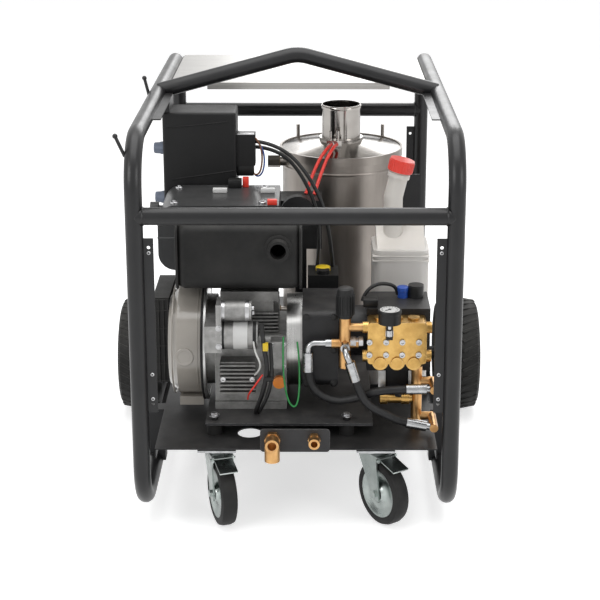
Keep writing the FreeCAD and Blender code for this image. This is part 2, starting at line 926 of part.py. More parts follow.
# Rear axle with the blocks that clamp it to the lower rails
def rear_axle():
    end = "(loopHalfWidth + wheelOut + hubHalf + seatGap)"
    axle = rod("axleRod", "axleRadius", end + " * 2", ("-" + end, "wheelAcross", "wheelRadius"), alongX)
    parts = [axle]
    for sign, hand in ((-1, "Left"), (1, "Right")):
        parts.append(mirrored_block("axleClamp" + hand, sign, "loopHalfWidth - riserWidth / 2",
                                    "loopHalfWidth + riserWidth / 2",
                                    ("wheelAcross - clampHalf", "loopLow"),
                                    ("wheelAcross + clampHalf", "wheelRadius + axleRadius")))
        inner = "(loopHalfWidth + wheelOut - hubHalf - seatGap)"
        collar_start = "loopHalfWidth" if sign > 0 else "-%s" % inner
        parts.append(rod("axleCollar" + hand, "axleRadius * 1.5", inner + " - loopHalfWidth",
                         (collar_start, "wheelAcross", "wheelRadius"), alongX))
        nut_start = end if sign > 0 else "-%s - axleNut / 2" % end
        parts.append(hexagon("axleNut" + hand, "axleNut", "axleNut / 2",
                             (nut_start, "wheelAcross", "wheelRadius"), alongX))
    welded = fused("axleWelded", parts)
    rails = [rail_space("axleLeftRail", -1, "loopLow"), rail_space("axleRightRail", 1, "loopLow")]
    keep(cut("rear_axle", welded, rails), "rear_axle")


rear_axle()


# Rear wheels: a pressed rim on a hub, and a pneumatic tyre
def rear_wheel(hand, sign):
    well = "rimRadius - 10"
    lip = "rimRadius + rimFlange"
    half = [("axleRadius + axleRun", "-hubHalf"), ("hubRadius", "-hubHalf"), ("hubRadius", "-6"), (well, "-6"),
            (well, "2 - rimHalf"), (lip, "-rimHalf - 3"), (lip, "-rimHalf"), ("rimRadius", "6 - rimHalf")]
    profile = half + [(radius, "-(%s)" % offset) for radius, offset in reversed(half)]
    at = ("%d * (loopHalfWidth + wheelOut)" % sign, "wheelAcross", "wheelRadius")
    keep(lathe(hand + "_rear_rim", profile, at, alongX), hand + "_rear_rim")
    over = lip + " + seatGap"
    side = [("rimRadius + seatGap", "6.5 - rimHalf"), (over, "0.5 - rimHalf"), (over, "-rimHalf - 3"),
            ("rimRadius + 28", "2 - tyreHalf"), ("wheelRadius - 48", "-tyreHalf"), ("wheelRadius - 24", "-tyreHalf"),
            ("wheelRadius - 7", "10 - tyreHalf"), ("wheelRadius", "22 - tyreHalf")]
    profile = side + [(radius, "-(%s)" % offset) for radius, offset in reversed(side)]
    keep(lathe(hand + "_rear_tyre", profile, at, alongX), hand + "_rear_tyre")


rear_wheel("left", -1)
rear_wheel("right", 1)


# Casters: top plates with their races, then fork, wheel and brake pedal of each side
def caster_plates():
    solids = []
    for sign, hand in ((-1, "Left"), (1, "Right")):
        along = "%d * casterAlong" % sign
        top = "casterHeight - seatGap"
        sheet_part = block("casterPlate" + hand,
                           (along + " - casterPlateWidth / 2", "casterAcross - casterPlateLength / 2",
                            top + " - casterPlate"),
                           (along + " + casterPlateWidth / 2", "casterAcross + casterPlateLength / 2", top))
        race_low = top + " - casterPlate - casterRaceHeight"
        race = rod("casterRace" + hand, "casterRace", "casterRaceHeight", (along, "casterAcross", race_low))
        pin = rod("casterKingPin" + hand, "kingPin", "forkSheet + seatGap * 2",
                  (along, "casterAcross", race_low + " - forkSheet - seatGap * 2"))
        head = rod("casterPinHead" + hand, "kingPin * 1.6", "forkSheet",
                   (along, "casterAcross", race_low + " - forkSheet * 2 - seatGap * 2"))
        solids.append(fused("casterTop" + hand, [sheet_part, race, pin, head]))
    keep(grouped("caster_plates", solids), "caster_plates")


def caster(hand, sign, swivel):
    at = ("%d * casterAlong" % sign, "casterAcross", "0")
    lengthwise = Rotation(Vector(1, 1, 1), 120)

    def finish(item, label):
        # everything above is drawn straight ahead and is turned by the swivel angle here
        place(item, at, Rotation(Vector(0, 0, 1), value(swivel)))
        bind(item, "Placement.Rotation.Angle", swivel)
        return keep(item, label)

    crown_top = "(casterHeight - seatGap * 2 - casterPlate - casterRaceHeight)"
    inner = "(casterHalf + forkClear)"
    outer = "(casterHalf + forkClear + forkSheet)"
    pin_across = "(-forkTop - pedalPin * 2)"
    pin_up = "(casterHeight - seatGap * 2 - casterPlate - casterRaceHeight - pedalPin * 2.3)"
    parts = [block(hand + "ForkCrown", ("-" + outer, "-forkTop", crown_top + " - forkSheet"),
                   (outer, "forkTop", crown_top))]
    for side, name in ((-1, "In"), (1, "Out")):
        low = inner if side > 0 else "-" + outer
        high = outer if side > 0 else "-" + inner
        # a leg that narrows from the crown to the wheel bolt
        parts.append(plate(hand + "ForkLeg" + name,
                           [("-forkTop", crown_top), ("-casterTrail - forkLegWidth / 2", "casterRadius"),
                            ("-casterTrail - forkLegWidth / 2", "casterRadius - forkLegWidth / 2"),
                            ("-casterTrail + forkLegWidth / 2", "casterRadius - forkLegWidth / 2"),
                            ("-casterTrail + forkLegWidth / 2", "casterRadius"), ("forkTop", crown_top)],
                           "forkSheet", (low, "0", "0"), lengthwise))
        parts.append(block(hand + "ForkEar" + name, (low, pin_across + " - pedalPin * 2", pin_up + " - pedalPin * 2"),
                           (high, "-forkTop + 1", crown_top)))
        nut_start = outer if side > 0 else "-%s - casterBolt" % outer
        parts.append(hexagon(hand + "CasterNut" + name, "casterBolt * 1.6", "casterBolt",
                             (nut_start, "-casterTrail", "casterRadius"), alongX))
    parts.append(rod(hand + "CasterBolt", "casterBolt", outer + " * 2", ("-" + outer, "-casterTrail", "casterRadius"),
                     alongX))
    parts.append(rod(hand + "PedalPin", "pedalPin", outer + " * 2 + forkSheet * 2",
                     ("-%s - forkSheet" % outer, pin_across, pin_up), alongX))
    king = rod(hand + "KingHole", "kingPin + casterRun", "forkSheet * 3", ("0", "0", crown_top + " - forkSheet * 2"))
    finish(cut(hand + "ForkDrilled", fused(hand + "ForkWelded", parts), [king]), hand + "_caster_fork")

    half = [("casterBolt + casterRun", "-casterHalf"), ("casterBolt * 3", "-casterHalf"),
            ("casterBolt * 3", "-3"), ("casterRim - 6", "-3"), ("casterRim", "-12"),
            ("casterRadius - 9", "-casterHalf"), ("casterRadius - 3", "6 - casterHalf"),
            ("casterRadius", "12 - casterHalf")]
    profile = half + [(radius, "-(%s)" % offset) for radius, offset in reversed(half)]
    wheel = lathe(hand + "CasterDisc", profile, ("0", "-casterTrail", "casterRadius"), alongX)
    finish(grouped(hand + "CasterRoller", [wheel]), hand + "_caster_wheel")

    # the pedal is a sloping plate with a barrel round the pedal pin
    foot = plate(hand + "FootPlate",
                 [(pin_across, pin_up), ("-forkTop - pedalLength", pin_up + " - pedalDrop"),
                  ("-forkTop - pedalLength", pin_up + " - pedalDrop + pedalSheet"), (pin_across, pin_up + " + pedalSheet")],
                 "pedalWidth", ("-pedalWidth / 2", "0", "0"), lengthwise)
    barrel = rod(hand + "PedalBarrel", "pedalPin * 2", "pedalWidth", ("-pedalWidth / 2", pin_across, pin_up), alongX)
    bore = rod(hand + "PedalBore", "pedalPin + casterRun", "pedalWidth * 2", ("-pedalWidth", pin_across, pin_up), alongX)
    finish(cut(hand + "PedalBored", fused(hand + "PedalWelded", [foot, barrel]), [bore]), hand + "_brake_pedal")


caster_plates()
caster("left", -1, "leftSwivel")
caster("right", 1, "rightSwivel")


# Engine plate on four rubber mounts
def engine_plate():
    low = "trayTop + mountHeight"
    sheet_part = block("plateSheet", ("plateLeft", "plateFront", low), ("plateRight", "plateBack", low + " + plateThick"))
    holes = []
    mounts = []
    for name, along, across in (("FrontLeft", "mountLeft", "mountFront"), ("FrontRight", "mountRight", "mountFront"),
                                ("BackLeft", "mountLeft", "mountBack"), ("BackRight", "mountRight", "mountBack")):
        holes.append(rod("plateHole" + name, "mountStud + studClear", "plateThick * 3",
                         (along, across, low + " - plateThick")))
        rubber = rod("mountRubber" + name, "mountRadius", "mountHeight - seatGap * 2",
                     (along, across, "trayTop + seatGap"))
        stud = rod("mountStud" + name, "mountStud", "mountHeight + plateThick", (along, across, "trayTop + seatGap"))
        nut = hexagon("mountNut" + name, "mountNut", "mountNutHeight",
                      (along, across, low + " + plateThick + seatGap"))
        mounts.append(fused("mount" + name, [rubber, stud, nut]))
    keep(cut("engine_plate", sheet_part, holes), "engine_plate")
    keep(grouped("rubber_mounts", mounts), "rubber_mounts")


engine_plate()
plateTop = "(trayTop + mountHeight + plateThick)"


# Engine block with its feet, the boss behind the blower, the starter lug and the dipstick boss
def engine_crankcase():
    low = plateTop + " + seatGap"
    inner = "caseLeft + caseInset"
    body = rounded("caseRounded", block("caseBlock", (inner, "caseFront", low), ("caseRight", "caseBack", "caseTop")),
                   "caseInset", lambda edge: runs(edge, 0) and edge.CenterOfMass.z > value("crankHeight"))
    feet = block("caseFeet", (inner, "caseFront - footOut", low), ("caseRight", "caseBack + footOut", low + " + footDepth"))
    boss = rod("caseBoss", "caseBarrel", "caseInset + 1", ("caseLeft", "crankAcross", "crankHeight"), alongX)
    lug = block("starterLug", ("caseLeft", "starterAcross - starterRadius", "starterHeight - starterRadius"),
                ("starterLeft - seatGap", "caseFront + 30", "starterHeight + starterRadius"))
    timing = block("timingCover", ("timingLeft", "caseFront - timingDepth", "timingLow"),
                   ("caseRight", "caseFront + 1", "caseTop"))
    dip_boss = rod("dipBossTube", "dipBoss", "dipBossOut + 1", ("dipAlong", "caseFront + 1", "dipHeight"), towardsFront)
    bore = rod("crankBore", "crankRadius + shaftRun", "caseRight - caseLeft + 2",
               ("caseLeft - 1", "crankAcross", "crankHeight"), alongX)
    dip_bore = rod("dipBore", "dipRadius + dipRun", "dipLength + 2",
                   ("dipAlong", "caseFront - dipBossOut + dipLength + 1", "dipHeight"), towardsFront)
    whole = fused("caseWelded", [body, feet, boss, lug, timing, dip_boss])
    keep(cut("engine_crankcase", whole, [bore, dip_bore]), "engine_crankcase")

    knob_across = "caseFront - dipBossOut - seatGap"
    stem = rod("dipStem", "dipRadius", "dipLength", ("dipAlong", knob_across + " + dipLength", "dipHeight"), towardsFront)
    knob = rod("dipHandle", "dipKnob", "dipKnobThick", ("dipAlong", knob_across, "dipHeight"), towardsFront)
    keep(fused("oil_dipstick", [stem, knob]), "oil_dipstick")


engine_crankcase()


# Finned cylinder with the head on top
def engine_cylinder():
    low, high = "(caseTop + seatGap)", "(mufflerLow - mufflerLift)"
    core = block("cylinderCore", ("cylinderLeft + finInset", "cylinderFront + finInset", low),
                 ("cylinderRight - finInset", "cylinderBack - finInset", high))
    parts = [core]
    for number in range(int(value("finCount"))):
        up = low + " + finThick + %d * finPitch" % number
        parts.append(block("cylinderFin%d" % number, ("cylinderLeft", "cylinderFront", up),
                           ("cylinderRight", "cylinderBack", up + " + finThick")))
    flange = block("cylinderTop", ("cylinderLeft", "cylinderFront", high + " - finInset * 2"),
                   ("cylinderRight", "cylinderBack", high))
    head = block("cylinderHead", ("cylinderLeft + 5", "headFront", high + " - 1"),
                 ("cylinderRight - 5", "cylinderBack", "tankLow - seatGap"))
    keep(fused("engine_cylinder", parts + [flange, head]), "engine_cylinder")


engine_cylinder()


# Blower housing round the flywheel, with the flange that carries the engine side
def blower_housing():
    back = "(caseLeft - seatGap)"
    seat = "(caseLeft - seatGap - flangeThick)"
    bulge = "(blowerLeft + blowerRound / 2)"
    profile = [("intakeRadius", "blowerLeft"), ("blowerRadius - blowerRound / 2", "blowerLeft"),
               ("blowerRadius", bulge), ("blowerRadius", seat), ("flangeRadius", seat), ("flangeRadius", back),
               ("crankRadius + 1", back), ("crankRadius + 1", seat), ("blowerRadius - blowerWall", seat),
               ("blowerRadius - blowerWall", bulge), ("blowerRadius - blowerRound / 2", "blowerLeft + blowerWall"),
               ("intakeRadius", "blowerLeft + blowerWall")]
    shell = lathe("blowerShell", profile, ("0", "crankAcross", "crankHeight"), alongX)
    foot = block("blowerFoot", ("blowerLeft + blowerRound / 2", "crankAcross - intakeRadius", "crankHeight - flangeRadius"),
                 (seat, "crankAcross + intakeRadius", "crankHeight - blowerRadius + blowerWall + 4"))
    keep(fused("blower_housing", [shell, foot]), "blower_housing")


blower_housing()


# Gears: a disc and one tooth that is patterned round the axis
def gear(label, teeth, at, start_angle):
    pitch = "(gearModule * %s / 2)" % teeth
    body = doc.addObject("PartDesign::Body", label)
    disc_sketch = sketch_in(body, label + "Disc", "XY_Plane")
    disc_sketch.addGeometry(Part.Circle(Vector(0, 0, 0), Vector(0, 0, 1), value(pitch + " - gearModule * 1.2")), False)
    disc_sketch.addConstraint(Sketcher.Constraint("Coincident", 0, 3, -1, 1))
    drive_radius(disc_sketch, 0, pitch + " - gearModule * 1.2")
    disc = body.newObject("PartDesign::Pad", label + "DiscPad")
    disc.Profile = disc_sketch
    bind(disc, "Length", "gearWidth")
    # tooth corners, half widths at the root and at the tip
    root, tip = pitch + " - gearModule * 1.3", pitch + " + gearModule * 0.85"
    wide = "(gearModule * 1.26 - toothSlack / 2)"
    slim = "(gearModule * 0.34)"
    tooth_sketch = sketch_in(body, label + "Tooth", "XY_Plane")
    polygon(tooth_sketch, [(root, "-" + wide), (tip, "-" + slim), (tip, slim), (root, wide)])
    tooth = body.newObject("PartDesign::Pad", label + "ToothPad")
    tooth.Profile = tooth_sketch
    bind(tooth, "Length", "gearWidth")
    ring = body.newObject("PartDesign::PolarPattern", label + "Ring")
    ring.Originals = [tooth]
    ring.Axis = (tooth_sketch, ["N_Axis"])
    ring.Angle = 360
    bind(ring, "Occurrences", teeth)
    body.Tip = ring
    return place(body, at, alongX.multiply(Rotation(Vector(0, 0, 1), start_angle)))


# Crankshaft with flywheel and pinion, pump shaft with the driven gear
def shafts():
    # direction from the crank axis to the pump axis, in the plane of the gears
    lean = math.degrees(math.atan2(-value("pumpOffset"), -value("pumpRise")))
    half_pitch = 180 / value("gearTeeth")
    end = "gearLeft + gearWidth + 10"
    start = "flywheelLeft - 5"
    crank = rod("crankRod", "crankRadius", "(%s) - (%s)" % (end, start), (start, "crankAcross", "crankHeight"), alongX)
    wheel = rod("flywheelDisc", "flywheelRadius", "flywheelThick", ("flywheelLeft", "crankAcross", "crankHeight"), alongX)
    pinion = gear("pinion", "pinionTeeth", ("gearLeft", "crankAcross", "crankHeight"), lean)
    keep(fused("crankshaft", [crank, wheel, pinion]), "crankshaft")

    pump_across, pump_height = "crankAcross - pumpOffset", "crankHeight + pumpRise"
    driven = gear("drivenGear", "gearTeeth", ("gearLeft", pump_across, pump_height), lean + 180 + half_pitch)
    rod_start = "gearLeft - 5"
    pump_rod = rod("pumpRod", "pumpShaft", "pumpCaseRight - 22 - (%s)" % rod_start,
                   (rod_start, pump_across, pump_height), alongX)
    keep(fused("pump_shaft", [pump_rod, driven]), "pump_shaft")


shafts()


# Muffler and fuel tank: rounded boxes
def exhaust_muffler():
    def soft(label, inset, low, high):
        corner = [text + inset for text in low]
        far = [text + inset.replace("+", "-") for text in high]
        return rounded(label, block(label + "Block", corner, far), "mufflerRound" + inset.replace("+", "-"),
                       lambda edge: edge.CenterOfMass.y < value(far[1]) - 1)

    low = ("mufflerLeft", "mufflerFront", "mufflerLow")
    high = ("mufflerRight", "mufflerBack", "mufflerHigh")
    box = soft("mufflerBox", "", low, high)
    room = soft("mufflerRoom", " + mufflerWall", low, high)
    snout = rod("mufflerSnout", "snoutRadius", "snoutOut + mufflerWall",
                ("snoutAlong", "mufflerFront + mufflerWall", "snoutHeight"), towardsFront)
    bore = rod("mufflerBore", "snoutBore", "snoutOut + mufflerWall * 3",
               ("snoutAlong", "mufflerFront + mufflerWall * 2", "snoutHeight"), towardsFront)
    keep(cut("exhaust_muffler", fused("mufflerWelded", [box, snout]), [room, bore]), "exhaust_muffler")


def fuel_tank():
    low = ("tankLeft", "tankFront", "tankLow")
    high = ("tankRight", "tankBack", "tankHigh")
    ends = lambda edge: runs(edge, 1) and edge.CenterOfMass.x < value("tankRight") - 20
    box = rounded("tankBox", block("tankBlock", low, high), "tankRound", ends)
    room = rounded("tankRoom", block("tankInside", [text + " + tankWall" for text in low],
                                     [text + " - tankWall" for text in high]), "tankRound - tankWall", ends)
    neck = rod("tankNeck", "capNeck", "capOut + tankWall", ("tankLeft + tankWall", "capAcross", "capHeight"), towardsLeft)
    bore = rod("tankBore", "capNeck - 3", "capOut + tankWall * 3", ("tankLeft + tankWall * 2", "capAcross", "capHeight"),
               towardsLeft)
    keep(cut("engine_fuel_tank", fused("tankWelded", [box, neck]), [room, bore]), "engine_fuel_tank")
    lid = rod("capLid", "capRadius", "capThick", ("tankLeft - capOut - seatGap", "capAcross", "capHeight"), towardsLeft)
    plug = rod("capPlug", "capNeck - 3 - dipRun", "capOut + 10", ("tankLeft + 10", "capAcross", "capHeight"), towardsLeft)
    keep(fused("fuel_cap", [lid, plug]), "fuel_cap")


exhaust_muffler()
fuel_tank()


# Starter motor with its solenoid, and the finned voltage regulator
def starter_motor():
    flange = block("starterNose", ("starterLeft", "starterAcross - starterRadius", "starterHeight - starterRadius"),
                   ("starterLeft + starterFlange", "starterAcross + starterRadius - seatGap * 20",
                    "solenoidHeight + solenoidRadius"))
    motor = rod("starterBody", "starterRadius", "starterRight - starterLeft",
                ("starterLeft", "starterAcross", "starterHeight"), alongX)
    solenoid = rod("starterSolenoid", "solenoidRadius", "(starterRight - starterLeft) * 0.85",
                   ("starterLeft", "starterAcross", "solenoidHeight"), alongX)
    keep(fused("starter_motor", [flange, motor, solenoid]), "starter_motor")


def voltage_regulator():
    fin_back = "(regulatorFront + regulatorFin)"
    parts = [block("regulatorBase", ("regulatorLeft", fin_back, "regulatorLow"),
                   ("regulatorRight", "caseFront - seatGap", "regulatorHigh"))]
    count = int(value("regulatorFins"))
    for number in range(count):
        along = "regulatorLeft + %d * (regulatorRight - regulatorLeft - regulatorFinThick) / %d" % (number, count - 1)
        parts.append(block("regulatorFin%d" % number, (along, "regulatorFront", "regulatorLow"),
                           (along + " + regulatorFinThick", fin_back + " + 1", "regulatorHigh")))
    keep(fused("voltage_regulator", parts), "voltage_regulator")


starter_motor()
voltage_regulator()


# Wire cage in front of the air intake
def blower_guard():
    low = ("guardLeft", "guardFront", "guardLow")
    high = ("blowerLeft - seatGap", "guardBack", "guardHigh")
    outer = block("guardOuter", low, high)
    inner = block("guardInner", ("guardLeft - 1", "guardFront + guardWall", "guardLow + guardWall"),
                  ("blowerLeft + 1", "guardBack - guardWall", "guardHigh - guardWall"))
    parts = [cut("guardRim", outer, [inner])]
    across_count = int((value("guardBack") - value("guardFront")) // value("guardCell"))
    up_count = int((value("guardHigh") - value("guardLow")) // value("guardCell"))
    for number in range(1, across_count):
        across = "guardFront + %d * (guardBack - guardFront) / %d" % (number, across_count)
        parts.append(block("guardPost%d" % number, ("guardLeft", across + " - guardBar / 2", "guardLow"),
                           ("guardLeft + guardWall", across + " + guardBar / 2", "guardHigh")))
    for number in range(1, up_count):
        up = "guardLow + %d * (guardHigh - guardLow) / %d" % (number, up_count)
        parts.append(block("guardRail%d" % number, ("guardLeft", "guardFront", up + " - guardBar / 2"),
                           ("guardLeft + guardWall", "guardBack", up + " + guardBar / 2")))
    keep(fused("blower_guard", parts), "blower_guard")


blower_guard()


# Drive: machined flange and reduction gearbox
def drive_case():
    left, right = "(caseRight + seatGap)", "(boxLeft - seatGap)"
    profile = [("crankRadius + 1", left), ("driveFlange", left), ("driveFlange", right), ("crankRadius + 1", right)]
    keep(lathe("pto_flange", profile, ("0", "crankAcross", "crankHeight"), alongX), "pto_flange")

    pump_across, pump_height = "crankAcross - pumpOffset", "crankHeight + pumpRise"
    housing = rounded("gearboxRounded", block("gearboxBlock", ("boxLeft", "boxFront", "boxLow"), ("boxRight", "boxBack", "boxHigh")),
                      "boxRound", lambda edge: runs(edge, 0))
    inside = "(boxRight - boxLeft - boxWall * 2)"
    spaces = [rod("pinionSpace", "gearModule * (pinionTeeth / 2 + 1) + boxWall", inside,
                  ("boxLeft + boxWall", "crankAcross", "crankHeight"), alongX),
              rod("gearSpace", "gearModule * (gearTeeth / 2 + 1) + boxWall", inside,
                  ("boxLeft + boxWall", pump_across, pump_height), alongX),
              rod("crankSeat", "crankRadius + shaftRun", "boxWall + 2", ("boxLeft - 1", "crankAcross", "crankHeight"), alongX),
              rod("pumpSeat", "pumpShaft + shaftRun", "boxWall + 2",
                  ("boxRight - boxWall - 1", pump_across, pump_height), alongX)]
    keep(cut("gearbox_housing", housing, spaces), "gearbox_housing")


drive_case()


# Pump: crankcase on the gearbox, brass manifold in front, caps, gauge
def pump_crankcase():
    pump_across, pump_height = "(crankAcross - pumpOffset)", "(crankHeight + pumpRise)"
    case = rounded("pumpCaseRounded",
                   block("pumpCaseBlock", ("pumpCaseLeft", "pumpCaseFront", pump_height + " - pumpCaseHigh"),
                         ("pumpCaseRight", "pumpCaseBack", pump_height + " + pumpCaseHigh")),
                   "pumpRound", lambda edge: runs(edge, 0) and edge.CenterOfMass.y > value(pump_across))
    neck = rod("pumpNeckTube", "pumpNeck", "pumpCaseLeft - boxRight + 1", ("boxRight + seatGap", pump_across, pump_height), alongX)
    parts = [case, neck]
    for number, along in enumerate(("manifoldMiddle - plungerPitch", "manifoldMiddle + plungerPitch - pumpLegWidth / 2")):
        parts.append(block("pumpLeg%d" % number, (along, "pumpLegFront", "pumpLegLow"),
                           (along + " + pumpLegWidth", "pumpLegFront + pumpLegDepth", pump_height)))
    for name, along, radius, out in (("Plug", "manifoldMiddle + plungerPitch / 2", 12, 26),
                                     ("Breather", "manifoldMiddle + plungerPitch * 1.3", 19, 32)):
        parts.append(rod("pump" + name, radius, "%d + 1" % out,
                         (along, pump_across + " + 20", pump_height + " + pumpCaseHigh - 1")))
    shaft = rod("pumpBore", "pumpShaft + shaftRun", "pumpCaseRight - boxRight - 20",
                ("boxRight", pump_across, pump_height), alongX)
    keep(cut("pump_crankcase", fused("pumpCaseWelded", parts), [shaft]), "pump_crankcase")


def pump_manifold():
    left, right = "(manifoldMiddle - manifoldHalf)", "(manifoldMiddle + manifoldHalf)"
    back = "(pumpCaseFront - seatGap)"
    body = rounded("manifoldRounded", block("manifoldBlock", (left, "manifoldFront", "manifoldLow"),
                                            (right, back, "manifoldHigh")),
                   "manifoldRound", lambda edge: runs(edge, 1))
    parts = [body]
    caps = []
    for number in (-1, 0, 1):
        along = "manifoldMiddle + %d * plungerPitch" % number
        lobe_back = "manifoldFront + lowValveRadius * 2"
        parts.append(rod("manifoldLobe%d" % (number + 2), "lowValveRadius", "lowValveRadius * 2",
                         (along, lobe_back, "lowValveHeight"), towardsFront))
        caps.append(rod("frontCap%d" % (number + 2), "valveCapRadius", "valveCapOut",
                        (along, "manifoldFront - seatGap", "lowValveHeight"), towardsFront))
        caps.append(rod("topCap%d" % (number + 2), "valveCapRadius", "valveCapOut",
                        (along, "highValveAcross", "manifoldHigh + seatGap")))
    for name, up in (("High", "portHigh"), ("Low", "portLow")):
        parts.append(rod("manifoldPort" + name, "portRadius", "manifoldHalf * 2 + portOut * 2",
                         ("manifoldMiddle - manifoldHalf - portOut", "unloaderAcross", up), alongX))
    keep(fused("pump_manifold", parts), "pump_manifold")
    keep(grouped("valve_caps", caps), "valve_caps")


def pressure_gauge():
    front = "(manifoldFront - seatGap)"
    middle = front + " - gaugeStemDepth / 2"
    case = rod("gaugeCase", "gaugeRadius", "gaugeHigh - gaugeLow", ("gaugeAlong", middle, "gaugeLow"))
    stem = block("gaugeStemBar", ("gaugeAlong - gaugeStem / 2", front + " - gaugeStemDepth", "gaugeStemLow"),
                 ("gaugeAlong + gaugeStem / 2", front, "gaugeLow + 1"))
    keep(fused("pressure_gauge", [case, stem]), "pressure_gauge")


pump_crankcase()
pump_manifold()
pressure_gauge()


# Unloader valve with its adjusting knob
def unloader():
    body = rod("unloaderTube", "unloaderRadius", "unloaderHigh - unloaderLow",
               ("unloaderAlong", "unloaderAcross", "unloaderLow"))
    tee = rod("unloaderTee", "unloaderPortRadius", "unloaderPortOut * 2",
              ("unloaderAlong - unloaderPortOut", "unloaderAcross", "unloaderPort"), alongX)
    front = rod("unloaderFrontPort", "unloaderPortRadius", "unloaderFrontOut",
                ("unloaderAlong", "unloaderAcross", "unloaderPort"), towardsFront)
    nipple = rod("unloaderNipple", "nippleRadius", "manifoldMiddle - manifoldHalf - portOut - seatGap - unloaderAlong",
                 ("unloaderAlong", "unloaderAcross", "portHigh"), alongX)
    bore = rod("unloaderStemBore", "knobStem + shaftRun", "knobStemDepth + 2",
               ("unloaderAlong", "unloaderAcross", "unloaderHigh - knobStemDepth - 1"))
    keep(cut("unloader_body", fused("unloaderWelded", [body, tee, front, nipple]), [bore]), "unloader_body")
    knob = rod("unloaderGrip", "knobRadius", "knobHeight", ("unloaderAlong", "unloaderAcross", "unloaderHigh + seatGap"))
    stem = rod("unloaderStem", "knobStem", "knobStemDepth + 2",
               ("unloaderAlong", "unloaderAcross", "unloaderHigh + seatGap - knobStemDepth"))
    keep(fused("unloader_knob", [knob, stem]), "unloader_knob")


unloader()


# Two hoses with their elbows and ferrules
def solid_from(label, shape):
    item = doc.addObject("Part::Feature", label)
    item.Shape = shape
    return item


def sleeve(start, end):
    # a ferrule round the hose end, from start to end
    first, last = Vector(*start), Vector(*end)
    axis = last - first
    outer = Part.makeCylinder(value("ferruleRadius"), axis.Length, first, axis)
    inner = Part.makeCylinder(value("hoseRadius + seatGap"), axis.Length + 2, first - axis.normalize(), axis)
    return outer.cut(inner)


def pipe(label, points, radius):
    return cord_solid(label, points, radius)


def hoses():
    clear = value("seatGap")
    pipe_radius = value("pipeRadius")
    port = value("unloaderPort")
    across = value("unloaderAcross")
    along = value("unloaderAlong")
    length = value("ferruleLength")
    elbow = value("elbowAlong")
    plug = 6
    # side elbow: from the left port of the unloader, down into its ferrule
    port_end = along - value("unloaderPortOut") - clear
    mouth = port - 28
    nut = Part.makeCylinder(value("unloaderPortRadius"), 14, Vector(port_end, across, port), Vector(-1, 0, 0))
    side_pipe = pipe("side elbow", [(port_end, across, port), (elbow, across, port), (elbow, across, mouth - plug)],
                     pipe_radius)
    side_sleeve = sleeve((elbow, across, mouth), (elbow, across, mouth - length))
    side_cap = Part.makeCylinder(value("ferruleRadius"), plug, Vector(elbow, across, mouth), Vector(0, 0, 1))
    side = side_pipe.fuse([nut, side_sleeve, side_cap])

    # front elbow: from the front port, down and to the right
    front = value("frontHoseAcross")
    front_start = across - value("unloaderFrontOut") - clear
    lean = Vector(0.284, 0, -0.959)
    bend = Vector(along + 3, front, port)
    front_mouth = bend + lean * 32
    front_nut = Part.makeCylinder(value("unloaderPortRadius"), 12, Vector(along, front_start, port), Vector(0, -1, 0))
    front_pipe = pipe("front elbow", [(along, front_start, port), tuple(Vector(along, front, port)),
                                      tuple(front_mouth + lean * plug)], pipe_radius)
    front_end = front_mouth + lean * length
    front_sleeve = sleeve(tuple(front_mouth), tuple(front_end))
    front_cap = Part.makeCylinder(value("ferruleRadius"), plug, front_mouth - lean * plug, lean)
    fore = front_pipe.fuse([front_nut, front_sleeve, front_cap])

    # ferrules at the inlet column
    arm = value("columnArmAlong - columnArm") - clear
    upper, upper_across = value("upperHoseEnd"), value("upperHoseAcross")
    lower, lower_across = value("lowerHoseEnd"), value("lowerHoseAcross")
    ends = []
    hose_ends = []
    for up, deep, axis in ((upper, upper_across, Vector(-1, 0, 0)), (lower, lower_across, Vector(-0.981, 0, 0.194))):
        root = Vector(arm, deep, up)
        nipple = Part.makeCylinder(pipe_radius, 12, root, axis)
        cap = Part.makeCylinder(value("ferruleRadius"), plug, root + axis * 8, axis)
        ring = sleeve(tuple(root + axis * (8 + plug)), tuple(root + axis * (8 + plug + length)))
        ends.append(nipple.fuse([cap, ring]))
        hose_ends.append((tuple(root + axis * (8 + plug + clear)), tuple(root + axis * 74)))
    keep(grouped("hose_fittings", [solid_from("hoseFitting%d" % number, shape.removeSplitter())
                                   for number, shape in enumerate([side, fore] + ends)]), "hose_fittings")

    start_up = mouth - plug - clear
    upper_end = hose_ends[0][0]
    lower_end, lower_before = hose_ends[1]
    side_run = [(elbow, across, start_up), (elbow, across, 348), (53, across - 4, 314), (95, across - 17, 300.5),
                (150, upper_across + 9, 318), (204, upper_across, upper), upper_end]
    first = front_mouth + lean * (plug + clear)
    second = front_mouth + lean * (plug + 64)
    front_run = [tuple(first), tuple(second), (170, front - 1, 309), (217, front, 284),
                 lower_before, lower_end]
    for label, run in (("bypass_hose", side_run), ("pressure_hose", front_run)):
        cords(label, [cord_solid(label, run, value("hoseRadius"), value("hoseBore"))])


hoses()


# Inlet column: a brass standpipe with an arm for each hose end
def inlet_column():
    parts = [rod("columnTube", "columnRadius", "lowValveHeight - lowValveRadius - trayTop - seatGap * 2",
                 ("columnAlong", "columnAcross", "trayTop + seatGap"))]
    for name, up, across in (("Upper", "upperHoseEnd", "upperHoseAcross"), ("Lower", "lowerHoseEnd", "lowerHoseAcross")):
        parts.append(rod("columnArm" + name, "columnArm", "columnArmAlong - columnAlong",
                         ("columnAlong", "columnAcross", up), alongX))
        parts.append(ball("columnCorner" + name, "columnArm", ("columnArmAlong", "columnAcross", up)))
        parts.append(rod("columnReach" + name, "columnArm", "columnAcross - (%s) + columnArm" % across,
                         ("columnArmAlong", "columnAcross", up), towardsFront))
    keep(fused("inlet_column", parts), "inlet_column")


inlet_column()


